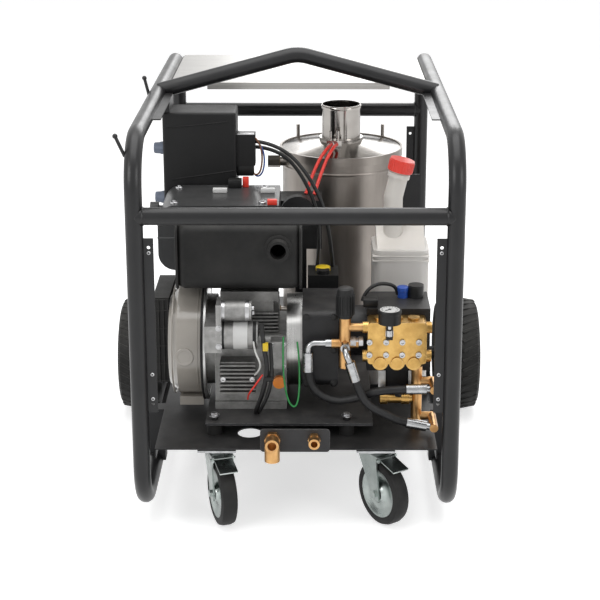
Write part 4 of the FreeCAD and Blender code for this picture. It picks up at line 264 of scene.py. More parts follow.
# deep/light: the two tones of the surface; grain: noise scale per axis; fine: relief scale;
# relief: bump strength; wear: tone of rubbed edges; dust: share of settled dust
finishes = {
    "powderBlack": {"deep": (0.006, 0.006, 0.0065), "light": (0.014, 0.014, 0.015), "grain": (9, 9, 9),
                    "rough": (0.24, 0.42), "fine": 420, "relief": 0.05, "wear": (0.07, 0.07, 0.07),
                    "wearAmount": 0.3, "dust": 0.05, "gloss": 0.36},
    "trayBlack": {"deep": (0.006, 0.006, 0.0065), "light": (0.015, 0.015, 0.016), "grain": (7, 7, 7),
                  "rough": (0.34, 0.55), "fine": 380, "relief": 0.06, "wear": (0.14, 0.14, 0.14),
                  "wearAmount": 0.3, "dust": 0.12, "gloss": 0.3},
    "brushedPanel": {"deep": (0.33, 0.32, 0.305), "light": (0.50, 0.49, 0.47), "grain": (2, 260, 260),
                     "rough": (0.24, 0.40), "fine": 0, "relief": 0.06, "metal": 1.0, "streak": (3, 900, 900)},
    "platePaint": {"gloss": 0.3, "deep": (0.016, 0.016, 0.017), "light": (0.036, 0.036, 0.038),
                   "grain": (11, 11, 11),
                   "rough": (0.38, 0.55), "fine": 340, "relief": 0.07, "wear": (0.3, 0.3, 0.3),
                   "wearAmount": 0.7, "dust": 0.25},
    "rubber": {"gloss": 0.28, "deep": (0.0060, 0.0060, 0.0060), "light": (0.0150, 0.0145, 0.0140),
               "grain": (40, 40, 40),
               "rough": (0.52, 0.72), "fine": 700, "relief": 0.12, "dust": 0.12},
    "hoseRubber": {"gloss": 0.28, "deep": (0.0080, 0.0080, 0.0085), "light": (0.0200, 0.0200, 0.0205),
                   "grain": (55, 55, 55),
                   "rough": (0.36, 0.52), "fine": 620, "relief": 0.16, "dust": 0.1},
    "sandCast": {"deep": (0.17, 0.17, 0.166), "light": (0.40, 0.395, 0.385), "grain": (38, 38, 38),
                 "rough": (0.40, 0.62), "fine": 520, "relief": 0.32, "metal": 0.85,
                 "wear": (0.72, 0.72, 0.70), "wearAmount": 0.8, "dust": 0.12},
    "darkCast": {"deep": (0.10, 0.10, 0.098), "light": (0.26, 0.255, 0.245), "grain": (30, 30, 30),
                 "rough": (0.42, 0.62), "fine": 480, "relief": 0.34, "metal": 0.75,
                 "wear": (0.5, 0.5, 0.49), "wearAmount": 0.9, "dust": 0.15},
    "coverEnamel": {"deep": (0.27, 0.25, 0.222), "light": (0.36, 0.335, 0.30), "grain": (5, 5, 5),
                    "rough": (0.16, 0.30), "fine": 260, "relief": 0.035, "coat": 0.5, "dust": 0.08},
    "heatBlack": {"gloss": 0.2, "deep": (0.0100, 0.0100, 0.0100), "light": (0.0260, 0.0255, 0.0245),
                  "grain": (16, 16, 16),
                  "rough": (0.44, 0.62), "fine": 560, "relief": 0.13, "wear": (0.10, 0.095, 0.09),
                  "wearAmount": 0.4, "dust": 0.14},
    "tankPaint": {"gloss": 0.28, "deep": (0.0245, 0.0252, 0.0259), "light": (0.0462, 0.0469, 0.0476),
                  "grain": (10, 10, 10),
                  "rough": (0.30, 0.45), "fine": 460, "relief": 0.06, "dust": 0.1, "coat": 0.15},
    "turnedAlloy": {"deep": (0.34, 0.34, 0.33), "light": (0.54, 0.535, 0.525), "grain": (500, 6, 6),
                    "rough": (0.22, 0.38), "fine": 0, "relief": 0.08, "metal": 1.0, "streak": (1100, 4, 4)},
    "housingPaint": {"gloss": 0.28, "deep": (0.0070, 0.0070, 0.0075), "light": (0.0180, 0.0180, 0.0190),
                     "grain": (20, 20, 20),
                     "rough": (0.36, 0.55), "fine": 360, "relief": 0.22, "wear": (0.12, 0.12, 0.12),
                     "wearAmount": 0.35, "dust": 0.14},
    "goldBrass": {"deep": (0.36, 0.20, 0.055), "light": (0.68, 0.44, 0.15), "grain": (34, 34, 34),
                  "rough": (0.24, 0.42), "fine": 520, "relief": 0.16, "metal": 1.0,
                  "wear": (0.95, 0.76, 0.42), "wearAmount": 0.6},
    "darkBrass": {"deep": (0.36, 0.185, 0.07), "light": (0.66, 0.40, 0.17), "grain": (42, 42, 42),
                  "rough": (0.26, 0.44), "fine": 520, "relief": 0.14, "metal": 1.0,
                  "wear": (0.85, 0.6, 0.33), "wearAmount": 0.6},
    "zincPlate": {"deep": (0.26, 0.265, 0.27), "light": (0.46, 0.465, 0.47), "grain": (60, 60, 60),
                  "rough": (0.16, 0.32), "fine": 600, "relief": 0.06, "metal": 1.0},
    "groundSteel": {"deep": (0.42, 0.42, 0.42), "light": (0.66, 0.66, 0.65), "grain": (300, 10, 10),
                    "rough": (0.2, 0.36), "fine": 0, "relief": 0.05, "metal": 1.0},
    "mouldedBlack": {"gloss": 0.28, "deep": (0.0060, 0.0060, 0.0060), "light": (0.0140, 0.0140, 0.0140),
                     "grain": (24, 24, 24),
                     "rough": (0.34, 0.52), "fine": 800, "relief": 0.10, "dust": 0.08},
    "rolledStainless": {"deep": (0.15, 0.132, 0.118), "light": (0.34, 0.312, 0.285), "grain": (9, 9, 2.2),
                        "rough": (0.26, 0.46), "fine": 0, "relief": 0.04, "metal": 1.0,
                        "streak": (260, 260, 2)},
    "polishedSteel": {"deep": (0.30, 0.28, 0.26), "light": (0.50, 0.475, 0.45), "grain": (14, 14, 14),
                      "rough": (0.10, 0.22), "fine": 300, "relief": 0.02, "metal": 1.0},
    "controlPlastic": {"gloss": 0.28, "deep": (0.0043, 0.0043, 0.0044), "light": (0.0080, 0.0080, 0.0083),
                       "grain": (12, 12, 12),
                       "rough": (0.42, 0.58), "fine": 900, "relief": 0.12, "dust": 0.06},
    "blueGreyPlastic": {"deep": (0.085, 0.105, 0.15), "light": (0.13, 0.16, 0.22), "grain": (30, 30, 30),
                        "rough": (0.38, 0.52), "fine": 700, "relief": 0.08, "wear": (0.25, 0.28, 0.36),
                        "wearAmount": 0.3},
    "redPlastic": {"deep": (0.62, 0.025, 0.012), "light": (0.82, 0.055, 0.030), "grain": (20, 20, 20),
                   "rough": (0.28, 0.42), "fine": 500, "relief": 0.04, "coat": 0.2},
    "redSilicone": {"deep": (0.60, 0.018, 0.010), "light": (0.80, 0.045, 0.028), "grain": (50, 50, 50),
                    "rough": (0.30, 0.45), "fine": 500, "relief": 0.05},
    "orangePlastic": {"deep": (0.85, 0.20, 0.008), "light": (0.95, 0.32, 0.02), "grain": (30, 30, 30),
                      "rough": (0.28, 0.42), "fine": 500, "relief": 0.04, "coat": 0.2},
    "tyreRubber": {"gloss": 0.28, "deep": (0.0070, 0.0070, 0.0065), "light": (0.0180, 0.0175, 0.0165),
                   "grain": (26, 26, 26),
                   "rough": (0.58, 0.78), "fine": 520, "relief": 0.20, "wear": (0.075, 0.072, 0.068),
                   "wearAmount": 0.5, "dust": 0.22},
    "rimPaint": {"deep": (0.40, 0.40, 0.395), "light": (0.56, 0.56, 0.55), "grain": (16, 16, 16),
                 "rough": (0.30, 0.46), "fine": 460, "relief": 0.06, "metal": 0.35, "dust": 0.15},
    "casterZinc": {"deep": (0.26, 0.295, 0.285), "light": (0.47, 0.51, 0.49), "grain": (22, 22, 22),
                   "rough": (0.20, 0.36), "fine": 480, "relief": 0.06, "metal": 1.0,
                   "wear": (0.85, 0.87, 0.85), "wearAmount": 0.4},
    "satinZinc": {"deep": (0.34, 0.34, 0.345), "light": (0.56, 0.56, 0.565), "grain": (70, 70, 70),
                  "rough": (0.22, 0.38), "fine": 640, "relief": 0.08, "metal": 1.0},
    "castAluminium": {"deep": (0.38, 0.38, 0.375), "light": (0.60, 0.60, 0.59), "grain": (34, 34, 34),
                      "rough": (0.30, 0.46), "fine": 560, "relief": 0.16, "metal": 0.9,
                      "wear": (0.75, 0.75, 0.74), "wearAmount": 0.6},
    "paleLabel": {"deep": (0.52, 0.52, 0.51), "light": (0.66, 0.66, 0.65), "grain": (14, 14, 14),
                  "rough": (0.36, 0.5), "fine": 500, "relief": 0.03},
    "dialWhite": {"deep": (0.60, 0.60, 0.585), "light": (0.70, 0.70, 0.69), "grain": (20, 20, 20),
                  "rough": (0.22, 0.34), "fine": 500, "relief": 0.02},
    "bluePlastic": {"deep": (0.012, 0.055, 0.30), "light": (0.025, 0.095, 0.44), "grain": (30, 30, 30),
                    "rough": (0.3, 0.44), "fine": 600, "relief": 0.05},
    "yellowPlastic": {"deep": (0.62, 0.42, 0.012), "light": (0.78, 0.56, 0.03), "grain": (30, 30, 30),
                      "rough": (0.3, 0.44), "fine": 600, "relief": 0.05},
    "cableSheath": {"gloss": 0.3, "deep": (0.008, 0.008, 0.008), "light": (0.020, 0.020, 0.020),
                    "grain": (60, 60, 60), "rough": (0.36, 0.5), "fine": 700, "relief": 0.12},
    "whiteSheath": {"deep": (0.55, 0.55, 0.53), "light": (0.68, 0.68, 0.66), "grain": (60, 60, 60),
                    "rough": (0.34, 0.48), "fine": 700, "relief": 0.05},
    "greenSheath": {"deep": (0.02, 0.22, 0.05), "light": (0.04, 0.34, 0.09), "grain": (60, 60, 60),
                    "rough": (0.34, 0.48), "fine": 700, "relief": 0.05},
    "brownSheath": {"deep": (0.10, 0.035, 0.012), "light": (0.19, 0.075, 0.028), "grain": (60, 60, 60),
                    "rough": (0.34, 0.48), "fine": 700, "relief": 0.05},
    "blueSheath": {"deep": (0.015, 0.06, 0.30), "light": (0.03, 0.11, 0.42), "grain": (60, 60, 60),
                   "rough": (0.34, 0.48), "fine": 700, "relief": 0.05},
}


def makeFinish(name, spec):
    mat = bpy.data.materials.new(name)
    mat.use_nodes = True
    tree = mat.node_tree
    links = tree.links
    shader = tree.nodes["Principled BSDF"]
    shader.inputs["Metallic"].default_value = spec.get("metal", 0.0)
    shader.inputs["Coat Weight"].default_value = spec.get("coat", 0.0)
    shader.inputs["Coat Roughness"].default_value = 0.12
    shader.inputs["Specular IOR Level"].default_value = spec.get("gloss", 0.5)
    place = addNode(tree, "ShaderNodeTexCoord")
    stretch = addNode(tree, "ShaderNodeMapping", None, {"Scale": [float(v) for v in spec["grain"]]})
    links.new(place.outputs["Object"], stretch.inputs["Vector"])
    tone = placeGroup(tree, mottleGroup, {"Scale": 1.0, "Detail": 5.0, "Contrast": 1.7})
    links.new(stretch.outputs[0], tone.inputs["Vector"])
    base = addNode(tree, "ShaderNodeMix", {"data_type": "RGBA"},
                   {"A": (*spec["deep"], 1.0), "B": (*spec["light"], 1.0)})
    links.new(tone.outputs[0], base.inputs["Factor"])
    colour = base.outputs["Result"]
    rough = addNode(tree, "ShaderNodeMapRange", {"clamp": True},
                    {"To Min": spec["rough"][0], "To Max": spec["rough"][1]})
    smudge = placeGroup(tree, mottleGroup, {"Scale": 14.0, "Detail": 6.0, "Contrast": 1.5})
    links.new(place.outputs["Object"], smudge.inputs["Vector"])
    links.new(smudge.outputs[0], rough.inputs["Value"])
    roughness = rough.outputs[0]
    if spec.get("wearAmount"):
        worn = placeGroup(tree, wearGroup, {"Width": 0.0016, "Amount": spec["wearAmount"]})
        links.new(place.outputs["Object"], worn.inputs["Vector"])
        edge = addNode(tree, "ShaderNodeMix", {"data_type": "RGBA"}, {"B": (*spec["wear"], 1.0)})
        links.new(worn.outputs[0], edge.inputs["Factor"])
        links.new(colour, edge.inputs["A"])
        colour = edge.outputs["Result"]
    if spec.get("dust"):
        settled = placeGroup(tree, dustGroup, {"Amount": spec["dust"]})
        links.new(place.outputs["Object"], settled.inputs["Vector"])
        veil = addNode(tree, "ShaderNodeMix", {"data_type": "RGBA"}, {"B": (0.20, 0.19, 0.175, 1.0)})
        links.new(settled.outputs[0], veil.inputs["Factor"])
        links.new(colour, veil.inputs["A"])
        colour = veil.outputs["Result"]
    links.new(colour, shader.inputs["Base Color"])
    links.new(roughness, shader.inputs["Roughness"])
    bump = addNode(tree, "ShaderNodeBump", None, {"Strength": spec["relief"], "Distance": 0.001})
    if spec.get("streak"):
        along = addNode(tree, "ShaderNodeMapping", None, {"Scale": [float(v) for v in spec["streak"]]})
        links.new(place.outputs["Object"], along.inputs["Vector"])
        lines = placeGroup(tree, mottleGroup, {"Scale": 1.0, "Detail": 2.0, "Contrast": 2.4})
        links.new(along.outputs[0], lines.inputs["Vector"])
        links.new(lines.outputs[0], bump.inputs["Height"])
    else:
        pebble = placeGroup(tree, mottleGroup, {"Scale": float(spec["fine"] or 300), "Detail": 2.0, "Contrast": 1.6})
        links.new(place.outputs["Object"], pebble.inputs["Vector"])
        links.new(pebble.outputs[0], bump.inputs["Height"])
    links.new(bump.outputs[0], shader.inputs["Normal"])
    return mat


material = {name: makeFinish(name, spec) for name, spec in finishes.items()}


def makeBottlePlastic():
    mat = makeFinish("bottlePlastic", {
        "deep": (0.58, 0.54, 0.49), "light": (0.72, 0.69, 0.65), "grain": (6, 6, 3),
        "rough": (0.30, 0.44), "fine": 240, "relief": 0.05})
    shader = mat.node_tree.nodes["Principled BSDF"]
    shader.inputs["Subsurface Weight"].default_value = 0.35
    shader.inputs["Subsurface Radius"].default_value = (0.03, 0.028, 0.025)
    shader.inputs["Subsurface Scale"].default_value = 1.0
    return mat


material["bottlePlastic"] = makeBottlePlastic()
print("finishes made:", len(material))

# finish of every carried-over node
nodeFinish = {
    "powderBlack": ["left_side_frame", "right_side_frame", "front_crossbar", "rear_crossbar", "lifting_bar",
                    "bottle_bracket"],
    "trayBlack": ["base_tray", "front_cross_member", "rear_cross_member"],
    "brushedPanel": ["top_panel"],
    "platePaint": ["engine_plate", "rear_axle", "outlet_bracket"],
    "rubber": ["rubber_mounts", "left_caster_wheel", "right_caster_wheel"],
    "hoseRubber": ["bypass_hose", "pressure_hose", "control_cables"],
    "sandCast": ["engine_crankcase", "starter_motor"],
    "darkCast": ["engine_cylinder", "voltage_regulator"],
    "coverEnamel": ["blower_housing"],
    "heatBlack": ["blower_guard", "exhaust_muffler"],
    "tankPaint": ["engine_fuel_tank", "fuel_cap"],
    "turnedAlloy": ["pto_flange"],
    "housingPaint": ["gearbox_housing", "pump_crankcase", "burner_unit"],
    "goldBrass": ["pump_manifold", "valve_caps"],
    "darkBrass": ["unloader_body", "inlet_column", "quick_connections"],
    "zincPlate": ["hose_fittings", "caster_plates"],
    "groundSteel": ["crankshaft", "pump_shaft"],
    "mouldedBlack": ["pressure_gauge", "fuel_pump", "unloader_knob"],
    "rolledStainless": ["boiler_shell", "heating_coil", "clamp_band"],
    "polishedSteel": ["boiler_lid"],
    "redSilicone": ["ignition_cables"],
    "controlPlastic": ["control_box"],
    "bottlePlastic": ["detergent_bottle"],
    "blueGreyPlastic": ["upper_control_knob", "lower_control_knob"],
    "redPlastic": ["bottle_cap"],
    "orangePlastic": ["oil_dipstick"],
    "rimPaint": ["left_rear_rim", "right_rear_rim"],
    "tyreRubber": ["left_rear_tyre", "right_rear_tyre"],
    "casterZinc": ["left_caster_fork", "right_caster_fork", "left_brake_pedal", "right_brake_pedal"],
}
for finish, nodes in nodeFinish.items():
    for node in nodes:
        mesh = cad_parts[node].data
        mesh.materials.clear()
        mesh.materials.append(material[finish])
print("frame nodes finished")

mm = 0.001
along = {"x": (1.0, 0.0, 0.0), "y": (0.0, 1.0, 0.0), "z": (0.0, 0.0, 1.0),
         "-x": (-1.0, 0.0, 0.0), "-y": (0.0, -1.0, 0.0), "-z": (0.0, 0.0, -1.0)}


def clearSelection():
    bpy.ops.object.select_all(action="DESELECT")


def roundEdges(piece, width, steps=2):
    shape = piece.modifiers.new("roundedEdges", "BEVEL")
    shape.width = width * mm
    shape.segments = steps
    shape.limit_method = "ANGLE"
    shape.angle_limit = math.radians(35.0)
    bpy.ops.object.modifier_apply(modifier=shape.name)


def startBox(name, low, high, edge=1.0, steps=2):
    clearSelection()
    middle = [0.5 * (a + b) * mm for a, b in zip(low, high)]
    bpy.ops.mesh.primitive_cube_add(size=1.0, location=middle)
    piece = bpy.context.object
    piece.name = name
    piece.scale = [(b - a) * mm for a, b in zip(low, high)]
    bpy.ops.object.transform_apply(location=True, rotation=True, scale=True)
    if edge:
        roundEdges(piece, edge, steps)
    return piece


# stations are (height, radius) along the axis; a closed one is a ring whose last station meets its first
def startTurned(name, place, axis, stations, sides=32, closed=False):
    clearSelection()
    fill = "NOTHING" if closed else "NGON"
    bpy.ops.mesh.primitive_circle_add(vertices=sides, radius=stations[0][1] * mm, fill_type=fill,
                                      location=(0.0, 0.0, stations[0][0] * mm))
    piece = bpy.context.object
    piece.name = name
    bpy.ops.object.transform_apply(location=True, rotation=True, scale=True)
    bpy.ops.object.mode_set(mode="EDIT")
    bpy.ops.mesh.select_all(action="SELECT")
    height, radius = stations[0]
    for nextHeight, nextRadius in stations[1:]:
        bpy.ops.mesh.extrude_region_move(TRANSFORM_OT_translate={"value": (0.0, 0.0, (nextHeight - height) * mm)})
        ratio = nextRadius / radius
        bpy.ops.transform.resize(value=(ratio, ratio, 1.0), center_override=(0.0, 0.0, nextHeight * mm))
        height, radius = nextHeight, nextRadius
    bpy.ops.mesh.select_all(action="SELECT")
    if closed:
        bpy.ops.mesh.remove_doubles(threshold=0.00001)
    bpy.ops.mesh.normals_make_consistent(inside=False)
    bpy.ops.object.mode_set(mode="OBJECT")
    direction = Vector(along.get(axis, axis))
    piece.rotation_euler = direction.to_track_quat("Z", "Y").to_euler()
    piece.location = Vector(place) * mm
    bpy.ops.object.transform_apply(location=True, rotation=True, scale=True)
    return piece


def startRod(name, first, last, radius, edge=0.8, sides=28):
    span = (Vector(last) - Vector(first)).length
    stations = [(0.0, radius - edge), (edge, radius), (span - edge, radius), (span, radius - edge)]
    return startTurned(name, first, tuple(Vector(last) - Vector(first)), stations, sides)


def startWire(name, points, radius):
    data = bpy.data.curves.new(name, "CURVE")
    data.dimensions = "3D"
    data.bevel_depth = radius * mm
    data.bevel_resolution = 4
    data.resolution_u = 10
    spline = data.splines.new("NURBS")
    spline.points.add(len(points) - 1)
    for spot, point in zip(spline.points, points):
        spot.co = (point[0] * mm, point[1] * mm, point[2] * mm, 1.0)
    spline.order_u = 3
    spline.use_endpoint_u = True
    data.use_fill_caps = True
    piece = bpy.data.objects.new(name, data)
    bpy.context.scene.collection.objects.link(piece)
    return piece


def joinPieces(name, pieces):
    clearSelection()
    for piece in pieces:
        piece.select_set(True)
    bpy.context.view_layer.objects.active = pieces[0]
    if len(pieces) > 1:
        bpy.ops.object.join()
    pieces[0].name = name
    return pieces[0]


# turned copies of a piece round an axis through a centre, joined with it
def ringOf(piece, count, axis, centre):
    spot = Vector(centre) * mm
    line = Vector(along.get(axis, axis))
    everyOne = [piece]
    for number in range(1, count):
        other = piece.copy()
        other.data = piece.data.copy()
        bpy.context.scene.collection.objects.link(other)
        turn = Matrix.Rotation(2.0 * math.pi * number / count, 4, line)
        other.data.transform(Matrix.Translation(spot) @ turn @ Matrix.Translation(-spot))
        everyOne.append(other)
    return joinPieces(piece.name, everyOne)


def turnMesh(piece, angle, axis, centre):
    spot = Vector(centre) * mm
    turn = Matrix.Rotation(math.radians(angle), 4, Vector(along.get(axis, axis)))
    piece.data.transform(Matrix.Translation(spot) @ turn @ Matrix.Translation(-spot))
    return piece


def dress(piece, finish, body="trolley", replaced=()):
    piece.data.materials.clear()
    piece.data.materials.append(material[finish])
    if piece.type == "MESH":
        clearSelection()
        piece.select_set(True)
        bpy.context.view_layer.objects.active = piece
        bpy.ops.object.shade_smooth_by_angle(angle=math.radians(38.0))
    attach(piece, body)
    if replaced:
        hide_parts(*replaced)
    return piece


# a hexagon head bolt with a washer under it, or a round head with a key recess
def startBolt(name, place, axis, across=6.5, high=5.0, washer=9.5):
    head = startTurned(name, place, axis, [(-2.0, across), (high - 0.8, across), (high, across - 0.9)], 6)
    disc = startTurned(name, place, axis, [(-0.4, washer), (1.2, washer), (1.5, washer - 0.5)], 28)
    return joinPieces(name, [head, disc])


def startSocketBolt(name, place, axis, radius=6.5, high=6.0):
    stations = [(-2.0, radius), (high - 0.8, radius), (high, radius - 0.8), (high, radius * 0.52),
                (high - 3.5, radius * 0.5)]
    return startTurned(name, place, axis, stations, 24)


hoseRoutes = {
    "bypass_hose_line": {
        "points": [(28.4, -455, 408.7), (28.4, -455, 348), (53, -459, 314), (95, -472, 300.5),
                   (150, -488, 318), (204, -497, 343), (303.4, -497, 343)],
        "radius": 10.0, "length": 0.363, "node": "bypass_hose", "finish": "hoseRubber",
        "slot": "rubber_black", "stiffness": "stiff"},
    "pressure_hose_line": {
        "points": [(129.9, -516, 406.3), (148.0, -516, 345.2), (170, -517, 309), (217, -516, 284),
                   (245.1, -510, 266.4), (303.7, -510, 254.8)],
        "radius": 10.0, "length": 0.251, "node": "pressure_hose", "finish": "hoseRubber",
        "slot": "rubber_black", "stiffness": "stiff"},
    "left_ignition_cable": {
        "points": [(89, 155.7, 790), (81, 105.7, 798), (45.5, 43.7, 760), (20, 0, 693.2)],
        "radius": 4.5, "length": 0.213, "node": "ignition_cables", "finish": "redSilicone",
        "slot": "cable_red", "stiffness": "medium"},
    "right_ignition_cable": {
        "points": [(103, 155.7, 790), (95, 105.7, 798), (66.5, 43.7, 760), (42, -8, 693.2)],
        "radius": 4.5, "length": 0.215, "node": "ignition_cables", "finish": "redSilicone",
        "slot": "cable_red", "stiffness": "medium"},
    "upper_control_cable": {
        "points": [(-108.7, -55, 846), (-42, -61, 840), (42, -90, 748), (82, -118, 640), (90, -100, 525.5)],
        "radius": 5.0, "length": 0.424, "node": "control_cables", "finish": "cableSheath",
        "slot": "rubber_black", "stiffness": "medium"},
    "lower_control_cable": {
        "points": [(-108.7, -39, 828), (-45, -43, 824), (24, -66, 742), (62, -108, 636), (50, -96, 525.5)],
        "radius": 5.0, "length": 0.398, "node": "control_cables", "finish": "cableSheath",
        "slot": "rubber_black", "stiffness": "medium"},
}


def layHoses():
    for name, route in hoseRoutes.items():
        piece = startWire(name, route["points"], route["radius"])
        dress(piece, route["finish"], "trolley", (route["node"],))


layHoses()
print("hoses and cables laid")

starters = {"box": startBox, "turned": startTurned, "rod": startRod, "wire": startWire,
            "bolt": startBolt, "socket": startSocketBolt}


# each part of a piece is its kind of starter and that starter's values, in its order
def makePieces(table):
    for name, spec in table.items():
        parts = [starters[kind](name, *values) for kind, *values in spec["parts"]]
        dress(joinPieces(name, parts), spec["finish"], spec.get("body", "trolley"), spec.get("replaced", ()))


blower = {
    "centreY": -290.0, "centreZ": 396.0,
    "beadStarts": (-304, -243), "beadFoot": 134, "beadCrown": 136, "beadWidth": 5, "beadSlope": 1,
}
blowerPieces = {
    "blower_seal": {"finish": "rubber", "slot": "rubber_black", "parts": [
        ("turned", (0, -290, 396), "x",
         [(-231.6, 140), (-231.6, 150), (-230.6, 151.4), (-226.4, 151.4), (-225.4, 150), (-225.4, 140),
          (-231.6, 140)], 72, True)]},
    "blower_back_rim": {"finish": "castAluminium", "slot": "machined_alloy", "parts": [
        ("turned", (0, -290, 396), "x",
         [(-225.4, 141), (-225.4, 150.6), (-224.6, 151.6), (-219.4, 151.6), (-218.6, 150.6), (-218.6, 141),
          (-225.4, 141)], 72, True)]},
    "blower_cover_boss": {"finish": "coverEnamel", "slot": "cover_grey", "parts": [
        ("turned", (-271, -424.4, 396), "-y", [(-3, 23), (1.6, 23), (2.8, 21.6), (2.8, 16), (1.8, 15)], 40)]},
}
guard = {
    "side": -353.2, "sideAcross": (-342, -163), "firstLevel": 312.0, "levelStep": 24.5, "levels": 9,
    "uprightSide": -352.0, "uprightLevels": (303, 517), "firstUpright": -336.0, "uprightStep": 24.0, "uprights": 8,
    "front": -346.4, "frontAlong": (-353.0, -313.0), "frontLevels": (304, 350, 396, 442, 488, 516),
    "frontUprights": (-350, -338, -326, -315), "frontUprightAcross": -347.0, "frontUprightLevels": (302, 518),
    "radius": 1.7, "edge": 0.3, "sides": 8,
}


def dressGuard():
    runs = []
    for number in range(guard["levels"]):
        level = guard["firstLevel"] + guard["levelStep"] * number
        runs.append([(guard["side"], across, level) for across in guard["sideAcross"]])
    for number in range(guard["uprights"]):
        across = guard["firstUpright"] + guard["uprightStep"] * number
        runs.append([(guard["uprightSide"], across, level) for level in guard["uprightLevels"]])
    for level in guard["frontLevels"]:
        runs.append([(x, guard["front"], level) for x in guard["frontAlong"]])
    for x in guard["frontUprights"]:
        runs.append([(x, guard["frontUprightAcross"], level) for level in guard["frontUprightLevels"]])
    wires = [startRod("guard_cross_wires", first, last, guard["radius"], guard["edge"], guard["sides"])
             for first, last in runs]
    dress(joinPieces("guard_cross_wires", wires), "heatBlack")


def dressBlower():
    makePieces(blowerPieces)
    beads = []
    for start in blower["beadStarts"]:
        foot, crown, slope = blower["beadFoot"], blower["beadCrown"], blower["beadSlope"]
        end = start + blower["beadWidth"]
        profile = [(start, foot), (start + slope, crown), (end - slope, crown), (end, foot), (start, foot)]
        beads.append(startTurned("blower_cover_beads", (0, blower["centreY"], blower["centreZ"]), "x",
                                 profile, 72, True))
    dress(joinPieces("blower_cover_beads", beads), "coverEnamel")
    dressGuard()


starterPieces = {
    "starter_motor_case": {"finish": "mouldedBlack", "slot": "gauge_black", "parts": [
        ("turned", (0, -437, 457), "x",
         [(-177.5, 31), (-176.5, 33.5), (-172, 33.5), (-171, 32.6), (-104, 32.6), (-103, 33.6), (-96, 33.6),
          (-92.5, 31), (-91.5, 14), (-90.6, 12)], 48)]},
    "starter_solenoid_case": {"finish": "satinZinc", "slot": "plated_steel", "parts": [
        ("turned", (0, -437, 519), "x",
         [(-180, 20), (-178.5, 24.5), (-170, 24.5), (-169, 23.6), (-122, 23.6), (-121, 24.6), (-112, 24.6),
          (-110, 22), (-106, 16), (-105.6, 9)], 44)]},
    "starter_plain_label": {"finish": "paleLabel", "parts": [
        ("turned", (0, -437, 457), "x",
         [(-150, 32.4), (-150, 33.5), (-116, 33.5), (-116, 32.4), (-150, 32.4)], 48, True)]},
    "starter_studs": {"finish": "satinZinc", "slot": "plated_steel", "parts": [
        ("bolt", (-106, -445, 528), "x", 4.6, 6, 6.6), ("bolt", (-106, -429, 510), "x", 4.6, 6, 6.6),
        ("bolt", (-184, -470.3, 440), "-y", 5, 4.5, 7.5), ("bolt", (-184, -470.3, 486), "-y", 5, 4.5, 7.5)]},
}
regulator = {"low": (-184.0, -455.0, 310.0), "high": (-98.0, -400.3, 390.0), "blockFront": -441,
             "blockEdge": 2.0, "fins": 8, "finFoot": -439, "finHalf": 2.1, "finEdge": 0.8}
regulatorBolts = {
    "regulator_bolts": {"finish": "satinZinc", "slot": "plated_steel", "parts": [
        ("socket", (x, -454, 350), "-y", 6.5, 2.5) for x in (-176, -106)]},
}


def dressRegulator():
    low, high, half = regulator["low"], regulator["high"], regulator["finHalf"]
    parts = [startBox("regulator_block", (low[0], regulator["blockFront"], low[2]), high, regulator["blockEdge"])]
    step = (high[2] - low[2]) / regulator["fins"]
    for number in range(regulator["fins"]):
        level = low[2] + step * (number + 0.5)
        parts.append(startBox("regulator_block", (low[0], low[1], level - half),
                              (high[0], regulator["finFoot"], level + half), regulator["finEdge"]))
    dress(joinPieces("regulator_block", parts), "darkCast", replaced=("voltage_regulator",))
    makePieces(regulatorBolts)


enginePieces = {
    "engine_feet_bolts": {"finish": "satinZinc", "slot": "plated_steel", "parts": [
        ("bolt", (x, y, 266.4), "z", 8.5, 7, 13)
        for x, y in ((-197, -475), (121, -475), (-197, -125), (121, -125))]},
    "timing_cover_bolts": {"finish": "satinZinc", "slot": "plated_steel", "parts": [
        ("socket", (x, -438, z), "-y", 4.2, 3.5)
        for x, z in ((-57, 378), (-29.5, 378), (-57, 434), (-29.5, 434))]},
    "engine_loom": {"finish": "cableSheath", "slot": "rubber_black", "parts": [
        ("wire", [(-81, -478, 500), (-78, -484, 447), (-68, -482, 397), (-74, -478, 350), (-84, -470, 311),
                  (-99, -455, 268), (-99, -440, 259)], 5.5)]},
    "engine_loom_lower": {"finish": "cableSheath", "slot": "rubber_black", "parts": [
        ("wire", [(-62, -470, 449), (-57, -478, 399), (-60, -480, 350), (-70, -476, 313), (-86, -465, 276),
                  (-92, -440, 260)], 4.5)]},
    "white_engine_wire": {"finish": "whiteSheath", "parts": [
        ("wire", [(-103, -462, 466), (-100, -478, 433), (-83, -488, 403), (-90, -470, 376),
                  (-100, -455, 362)], 2.4)]},
    "red_engine_wire": {"finish": "redSilicone", "slot": "cable_red", "parts": [
        ("wire", [(-80, -478, 372), (-98, -482, 346), (-111, -478, 327), (-117, -460, 308),
                  (-117, -455, 300)], 2.2)]},
    "green_engine_wire": {"finish": "greenSheath", "parts": [
        ("wire", [(-31, -440, 454), (-34, -450, 379), (-22, -452, 292), (-1, -450, 272), (8, -446, 317),
                  (7, -440, 404), (2, -436, 440)], 2.2)]},
    "yellow_connector": {"finish": "yellowPlastic", "parts": [
        ("box", (-79, -492, 436), (-66, -478, 455), 1.5)]},
    "loom_clip": {"finish": "mouldedBlack", "slot": "gauge_black", "parts": [
        ("box", (-76, -489, 358), (-54, -440, 368), 1.5)]},
}
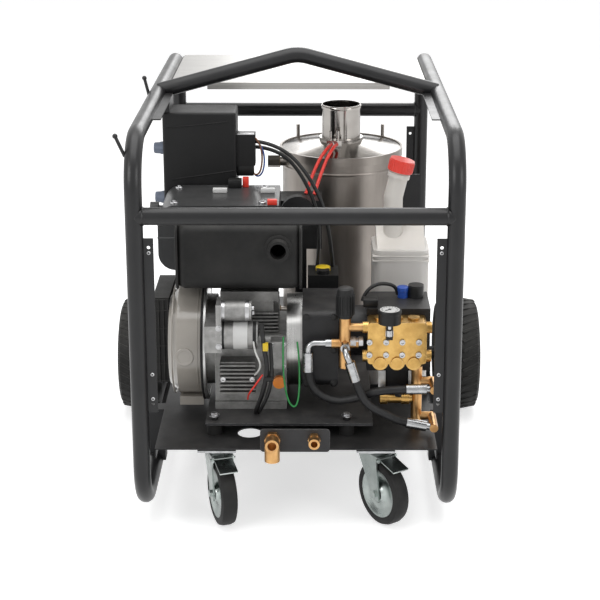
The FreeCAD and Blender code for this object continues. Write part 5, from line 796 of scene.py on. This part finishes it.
tankPieces = {
    "tank_pads": {"finish": "satinZinc", "slot": "plated_steel", "parts": [
        ("turned", (x, y, 739.5), "z", [(0, 10), (3.5, 10), (4.5, 9), (4.5, 4.5), (7.5, 4.2), (8, 3)], 28)
        for x, y in ((-300, -270), (-300, -120), (-84, -270), (-84, -120))]},
    "tank_white_clips": {"finish": "paleLabel", "parts": [
        ("box", (x, -176, 740.2), (x + 36, -162, 752), 2.0) for x in (-212, -92)]},
    "red_connectors": {"finish": "redPlastic", "slot": "cap_red", "parts": [
        ("box", (-72, -292, 740.2), (-48, -276, 753), 1.6), ("box", (-140, -118, 740.2), (-124, -104, 766), 1.6)]},
    "tank_top_block": {"finish": "mouldedBlack", "slot": "gauge_black", "parts": [
        ("box", (-176, -128, 740.2), (-142, -100, 762), 2.5)]},
    "tank_seam": {"finish": "tankPaint", "slot": "tank_black", "parts": [
        ("box", (-341.2, -298.2, 655), (-43.6, -90.8, 661), 2.4, 3)]},
}
muffler = {"rimSpans": ((-289, -283), (7, 13)), "rimLow": (-406.6, 556.4), "rimHigh": (-298.4, 721.6),
           "cornerRadius": 25.0, "cornerSteps": 8, "rimEdge": 1.4}
mufflerCollar = {
    "muffler_snout_collar": {"finish": "heatBlack", "slot": "exhaust_black", "parts": [
        ("turned", (-43, -404, 664), "-y", [(0, 24), (0, 33), (3, 33), (6, 27.5), (6, 24), (0, 24)], 44, True)]},
}


# the four edges of a box that run along X are rounded to one radius
def roundAlongX(piece, width, steps):
    clearSelection()
    piece.select_set(True)
    bpy.context.view_layer.objects.active = piece
    mesh = piece.data
    bpy.ops.object.mode_set(mode="EDIT")
    bpy.ops.mesh.select_mode(type="EDGE")
    bpy.ops.mesh.select_all(action="DESELECT")
    bpy.ops.object.mode_set(mode="OBJECT")
    for edge in mesh.edges:
        line = mesh.vertices[edge.vertices[0]].co - mesh.vertices[edge.vertices[1]].co
        edge.select = abs(line.x) > 0.99 * line.length
    bpy.ops.object.mode_set(mode="EDIT")
    bpy.ops.mesh.bevel(offset=width * mm, segments=steps)
    bpy.ops.mesh.select_mode(type="VERT")
    bpy.ops.object.mode_set(mode="OBJECT")


def dressMuffler():
    rims = []
    for first, last in muffler["rimSpans"]:
        rim = startBox("muffler_end_rims", (first, *muffler["rimLow"]), (last, *muffler["rimHigh"]), 0)
        roundAlongX(rim, muffler["cornerRadius"], muffler["cornerSteps"])
        roundEdges(rim, muffler["rimEdge"])
        rims.append(rim)
    dress(joinPieces("muffler_end_rims", rims), "heatBlack")
    makePieces(mufflerCollar)


dressBlower()
makePieces(starterPieces)
dressRegulator()
makePieces(enginePieces)
makePieces(tankPieces)
dressMuffler()
print("engine dressed")

driveRing = {"centre": (13, -290, 396), "boltCircle": 106, "bolts": 6, "firstAngle": 30}


def placeDriveRingBolts():
    x, y, z = driveRing["centre"]
    reach = driveRing["boltCircle"]
    spots = []
    for number in range(driveRing["bolts"]):
        angle = math.radians(driveRing["firstAngle"] + 360 / driveRing["bolts"] * number)
        spots.append((x, y + reach * math.cos(angle), z + reach * math.sin(angle)))
    return spots


pumpPieces = {
    "manifold_bolts": {"finish": "satinZinc", "slot": "plated_steel", "parts": [
        ("socket", (x, -470, z), "-y", 7.2, 5.5) for x in (174, 213.5, 252, 291) for z in (452, 420)]},
    "gearbox_bolts": {"finish": "mouldedBlack", "slot": "gauge_black", "parts": [
        ("bolt", (x, -432, z), "-y", 5.6, 4.5, 8.5)
        for x, z in ((24, 332), (90, 332), (24, 502), (90, 502), (24, 417), (90, 417))]},
    "drive_ring_bolts": {"finish": "satinZinc", "slot": "plated_steel", "parts": [
        ("bolt", spot, "x", 5.2, 4.5, 8) for spot in placeDriveRingBolts()]},
    "pump_leg_plates": {"finish": "castAluminium", "slot": "cast_alloy", "parts": [
        ("box", (low, -411.2, 296.2), (high, -408.6, 357), 0.8) for low, high in ((198.6, 216.4), (271.6, 288.6))]},
    "pump_leg_web": {"finish": "housingPaint", "slot": "housing_black", "parts": [
        ("box", (216, -402, 297), (272, -396, 357.5), 1.2)]},
    "pump_blue_plug": {"finish": "bluePlastic", "parts": [
        ("turned", (260, -320, 515), "z", [(0, 13), (16, 13), (17, 14.5), (26, 14.5), (27, 13)], 30)]},
    "pump_breather_cap": {"finish": "mouldedBlack", "slot": "gauge_black", "parts": [
        ("turned", (292, -320, 515), "z", [(0, 17), (8, 17), (9, 19.4), (28, 19.4), (32.4, 15), (32.6, 6)], 36)]},
    "pump_top_block": {"finish": "mouldedBlack", "slot": "gauge_black", "parts": [
        ("box", (161, -402, 515.2), (196, -368, 534), 2.5)]},
    "crankcase_vent_hose": {"finish": "cableSheath", "slot": "rubber_black", "parts": [
        ("wire", [(160, -352, 516), (165, -352, 536), (192, -342, 556), (228, -332, 553), (245, -322, 538),
                  (247, -320, 522)], 4.5)]},
    "gauge_nipple": {"finish": "satinZinc", "slot": "plated_steel", "parts": [
        ("turned", (220.6, -477.3, 470), "z", [(0, 9.5), (1, 10.5), (15, 10.5), (16, 9.5)], 6),
        ("turned", (220.6, -477.3, 488), "z", [(0, 8), (1, 9), (14, 9), (15, 8)], 6)]},
    "unloader_nipple": {"finish": "satinZinc", "slot": "plated_steel", "parts": [
        ("turned", (128, -455, 448), "x",
         [(0, 9), (0.8, 13), (14, 13), (15, 10), (20, 10), (21, 13), (31, 13), (32, 9)], 6)]},
}
gauge = {
    "centre": (220.6, -477.3), "top": 536.0,
    "bezel": [(0, 25), (0, 27.8), (1, 28.3), (7, 28.3), (9.5, 27), (9.5, 23.6), (7, 23.2), (0, 25)],
    "bezelDrop": 9, "dial": [(0, 23.4), (2.3, 23.4), (2.4, 23)], "dialDrop": 2,
    "marks": 13, "firstMark": 135.0, "markStep": 22.5, "markHalf": 0.5, "markReach": (16.5, 21.0),
    "markRise": (0.3, 0.8), "needleHalf": 0.8, "needleReach": (-5, 16), "needleRise": (0.6, 1.3),
    "pin": [(0.3, 3.2), (1.8, 3.0)],
}


def startMark(half, reach, rise, angle):
    x, y = gauge["centre"]
    top = gauge["top"]
    mark = startBox("gauge_marks", (x - half, y + reach[0], top + rise[0]), (x + half, y + reach[1], top + rise[1]), 0)
    return turnMesh(mark, angle, "z", (x, y, 0))


def dressGauge():
    x, y = gauge["centre"]
    top = gauge["top"]
    bezel = startTurned("gauge_bezel", (x, y, top - gauge["bezelDrop"]), "z", gauge["bezel"], 56, True)
    dress(bezel, "mouldedBlack")
    dial = startTurned("gauge_dial", (x, y, top - gauge["dialDrop"]), "z", gauge["dial"], 56)
    dress(dial, "dialWhite")
    marks = [startMark(gauge["markHalf"], gauge["markReach"], gauge["markRise"],
                       gauge["firstMark"] - gauge["markStep"] * number) for number in range(gauge["marks"])]
    marks.append(startMark(gauge["needleHalf"], gauge["needleReach"], gauge["needleRise"], gauge["firstMark"]))
    marks.append(startTurned("gauge_marks", (x, y, top), "z", gauge["pin"], 24))
    dress(joinPieces("gauge_marks", marks), "mouldedBlack")


unloader = {
    "centre": (116, -455), "foot": 508.5,
    "grip": [(0, 12), (0.5, 17), (6, 17), (7, 20.5), (60, 20.5), (72, 19), (75, 15), (75.6, 6)],
    "ribLow": (114.6, -478, 517), "ribHigh": (117.4, -473.5, 566), "ribs": 18,
}
branchPieces = {
    "brass_branch": {"finish": "goldBrass", "slot": "brass", "parts": [
        ("turned", (278, -455, 303), "-x",
         [(0, 11), (6, 11), (7, 14), (26, 14), (27, 11.5), (58, 11.5), (59, 14.5), (76, 14.5), (78, 12)], 28)]},
    "brass_branch_cap": {"finish": "mouldedBlack", "slot": "gauge_black", "parts": [
        ("turned", (246, -455, 311), "z", [(0, 12), (8, 12), (9, 14), (19, 14), (21, 12)], 8)]},
}


def dressUnloader():
    x, y = unloader["centre"]
    grip = startTurned("unloader_grip", (x, y, unloader["foot"]), "z", unloader["grip"], 48)
    rib = startBox("unloader_grip", unloader["ribLow"], unloader["ribHigh"])
    ribs = ringOf(rib, unloader["ribs"], "z", (x, y, 0))
    dress(joinPieces("unloader_grip", [grip, ribs]), "mouldedBlack", "unloader_adjuster", ("unloader_knob",))
    makePieces(branchPieces)


dials = {
    "upper_dial_grip": {"body": "upper_dial", "node": "upper_control_knob", "level": 822.0},
    "lower_dial_grip": {"body": "lower_dial", "node": "lower_control_knob", "level": 691.0},
}
dialGrip = {"face": -344.6, "across": -25, "sides": 8,
            "profile": [(0, 15), (1, 16.9), (10, 16.9), (12, 15.4), (25, 14.6), (27.5, 12.6), (27.7, 5)],
            "pointerLow": (-372.2, -27, 1), "pointerHigh": (-369.5, -23, 12), "pointerEdge": 0.6}


def dressDials():
    for name, dial in dials.items():
        level = dial["level"]
        low, high = dialGrip["pointerLow"], dialGrip["pointerHigh"]
        grip = startTurned(name, (dialGrip["face"], dialGrip["across"], level), "-x", dialGrip["profile"],
                           dialGrip["sides"])
        pointer = startBox(name, (low[0], low[1], level + low[2]), (high[0], high[1], level + high[2]),
                           dialGrip["pointerEdge"])
        dress(joinPieces(name, [grip, pointer]), "blueGreyPlastic", dial["body"], (dial["node"],))


controlPieces = {
    "control_box_beads": {"finish": "controlPlastic", "slot": "control_black", "parts": [
        ("rod", (-331, -80.2, 886), (-179, -80.2, 902), 1.6, 0.4, 10),
        ("rod", (-323, -80.2, 751), (-161, -80.2, 775), 1.6, 0.4, 10)]},
    "relay_top_plate": {"finish": "satinZinc", "slot": "plated_steel", "parts": [
        ("box", (-157, -66.5, 858), (-111, -28, 868), 1.5)]},
    "relay_foot": {"finish": "mouldedBlack", "slot": "gauge_black", "parts": [
        ("box", (-156.5, -66, 757), (-113, -28, 786), 2.5)]},
    "brown_control_wire": {"finish": "brownSheath", "parts": [
        ("wire", [(-112, -62, 859), (-97, -64, 846), (-90, -66, 808), (-95, -70, 770), (-108, -66, 758),
                  (-114, -60, 764)], 2.4)]},
    "blue_control_wire": {"finish": "blueSheath", "parts": [
        ("wire", [(-112, -52, 850), (-93, -56, 838), (-84, -60, 800), (-90, -64, 764), (-106, -60, 752),
                  (-114, -52, 762)], 2.2)]},
}

makePieces(pumpPieces)
dressGauge()
dressUnloader()
dressDials()
makePieces(controlPieces)
print("pump and controls dressed")

rearWheels = {"left": -448.0, "right": 448.0}
tyre = {
    "across": 240.0, "height": 160.0,
    "carcass": [(-50, 87), (-57, 98), (-59.5, 118), (-57, 139), (-50, 150), (-36, 154), (36, 154), (50, 150),
                (57, 139), (59.5, 118), (57, 98), (50, 87), (-50, 87)],
    "lugFrom": 5.0, "lugTo": 54.0, "lugHalf": 4.6, "lugFoot": 150.5, "lugTop": 159.6, "lugEdge": 1.8,
    "lugSlant": 24.0, "slantMiddle": 30.0, "stagger": 5.0, "lugs": 36,
    "shoulderStart": 34.0, "shoulderWidth": 20.0, "shoulderDrop": 9.0,
}
casterWheels = {
    "left": {"centre": (-178.85, -506.25, 80.0), "axle": (0.951057, 0.309017, 0.0)},
    "right": {"centre": (210.65, -501.5, 80.0), "axle": (0.819152, 0.573576, 0.0)},
}
caster = {
    "tread": [(-14, 59), (-19.2, 61), (-19.8, 70), (-17, 77), (-9, 80), (9, 80), (17, 77), (19.8, 70),
              (19.2, 61), (14, 59), (-14, 59)],
    "disc": [(-20.4, 9), (-20.4, 18), (-17, 20), (-12, 30), (-12, 44), (-16.5, 52), (-18.5, 60), (-15, 62),
             (15, 62), (18.5, 60), (16.5, 52), (12, 44), (12, 30), (17, 20), (20.4, 18), (20.4, 9), (-20.4, 9)],
    "pinHalf": 30.0, "pinRadius": 7.5,
}


# the outer end of a tread lug drops with the tyre's shoulder
def dropShoulder(piece, middle):
    for spot in piece.data.vertices:
        out = max(abs(spot.co.x / mm - middle) - tyre["shoulderStart"], 0.0) / tyre["shoulderWidth"]
        spot.co.z -= tyre["shoulderDrop"] * mm * out * out


def startLugs(name, middle, sign):
    across, height = tyre["across"], tyre["height"]
    ends = sorted((tyre["lugFrom"] * sign, tyre["lugTo"] * sign))
    lug = startBox(name, (middle + ends[0], across - tyre["lugHalf"], height + tyre["lugFoot"]),
                   (middle + ends[1], across + tyre["lugHalf"], height + tyre["lugTop"]), tyre["lugEdge"], 1)
    dropShoulder(lug, middle)
    turnMesh(lug, tyre["lugSlant"] * sign, "z", (middle + tyre["slantMiddle"] * sign, across, 0.0))
    turnMesh(lug, tyre["stagger"] * sign, "x", (middle, across, height))
    return ringOf(lug, tyre["lugs"], "x", (middle, across, height))


def dressRearTyres():
    for side, middle in rearWheels.items():
        name = side + "_tyre_tread"
        carcass = startTurned(name, (middle, tyre["across"], tyre["height"]), "x", tyre["carcass"], 96, True)
        lugs = [startLugs(name, middle, sign) for sign in (-1.0, 1.0)]
        dress(joinPieces(name, [carcass] + lugs), "tyreRubber", side + "_wheel", (side + "_rear_tyre",))


def dressCasters():
    for side, wheel in casterWheels.items():
        tread = startTurned(side + "_caster_tread", wheel["centre"], wheel["axle"], caster["tread"], 72, True)
        dress(tread, "rubber", side + "_roller", (side + "_caster_wheel",))
        disc = startTurned(side + "_caster_disc", wheel["centre"], wheel["axle"], caster["disc"], 60, True)
        dress(disc, "casterZinc", side + "_roller", ())
        line = Vector(wheel["axle"])
        spot = Vector(wheel["centre"])
        ends = [tuple(spot + sign * caster["pinHalf"] * line) for sign in (-1.0, 1.0)]
        pin = startRod(side + "_caster_pin", ends[0], ends[1], caster["pinRadius"], 1.0, 20)
        dress(pin, "satinZinc", side + "_caster", ())


framePieces = {
    "frame_weld_beads": {"finish": "powderBlack", "slot": "black_frame", "parts": [
        ("turned", (x, y, 797), "x", [(0, 19), (0, 21), (2, 22.2), (4, 21), (4, 19), (0, 19)], 40, True)
        for y in (-600, 600) for x in (-342, 338)]},
    "strip_screws": {"finish": "satinZinc", "slot": "plated_steel", "parts": [
        ("socket", (x, -600, z), "-y", 4.5, 2.5) for x in (-329, 329) for z in (360, 420, 712)]},
}
boilerPieces = {
    "coil_end_nuts": {"finish": "goldBrass", "slot": "brass", "parts": [
        ("turned", (-51, 200, level), "-x",
         [(0, 13), (1, 16.5), (14, 16.5), (15, 13), (20, 13), (21, 15.5), (33, 15.5), (34, 10), (30, 8)], 6)
        for level in (301, 733)]},
    "chimney_bands": {"finish": "polishedSteel", "slot": "stainless", "parts": [
        ("turned", (116, 250, level), "z",
         [(0, 51), (0, 54.4), (2, 55), (5, 55), (7, 54.4), (7, 51), (0, 51)], 60, True)
        for level in (776, 874)]},
    "boiler_shell_beads": {"finish": "rolledStainless", "slot": "stainless", "parts": [
        ("turned", (116, 250, level), "z",
         [(0, 160), (0, 162.4), (2, 163.6), (6, 163.6), (8, 162.4), (8, 160), (0, 160)], 96, True)
        for level in (262, 716)]},
    "fuel_filler_cap": {"finish": "yellowPlastic", "parts": [
        ("turned", (65, -125, 522), "z", [(0, 17), (1, 19), (9.5, 19), (11, 16), (11.2, 5)], 24)]},
}
bottleCap = {"centre": (262.0, -150.0, 811.0), "axis": (20.0, 0.0, 86.0), "ribs": 30, "drop": 18.0,
             "reach": 30.9, "length": 25.0, "radius": 1.5, "edge": 0.4, "sides": 8}
bottlePieces = {
    "bottle_side_beads": {"finish": "bottlePlastic", "slot": "bottle_white", "parts": [
        ("box", (188.8, -222.2, level), (332.2, -79.8, level + 4), 2.0) for level in (586, 574)]},
}


def dressBottle():
    line = Vector(bottleCap["axis"]).normalized()
    low = Vector(bottleCap["centre"]) - bottleCap["drop"] * line
    side = Vector((line.z, 0.0, -line.x))
    ribs = []
    for number in range(bottleCap["ribs"]):
        turn = Matrix.Rotation(2.0 * math.pi * number / bottleCap["ribs"], 3, line)
        foot = low + turn @ (side * bottleCap["reach"])
        ribs.append(startRod("bottle_cap_ribs", tuple(foot), tuple(foot + bottleCap["length"] * line),
                             bottleCap["radius"], bottleCap["edge"], bottleCap["sides"]))
    dress(joinPieces("bottle_cap_ribs", ribs), "redPlastic", "bottle_lid", ())
    makePieces(bottlePieces)


dressRearTyres()
dressCasters()
makePieces(framePieces)
makePieces(boilerPieces)
dressBottle()
print("wheels, boiler and bottle dressed")
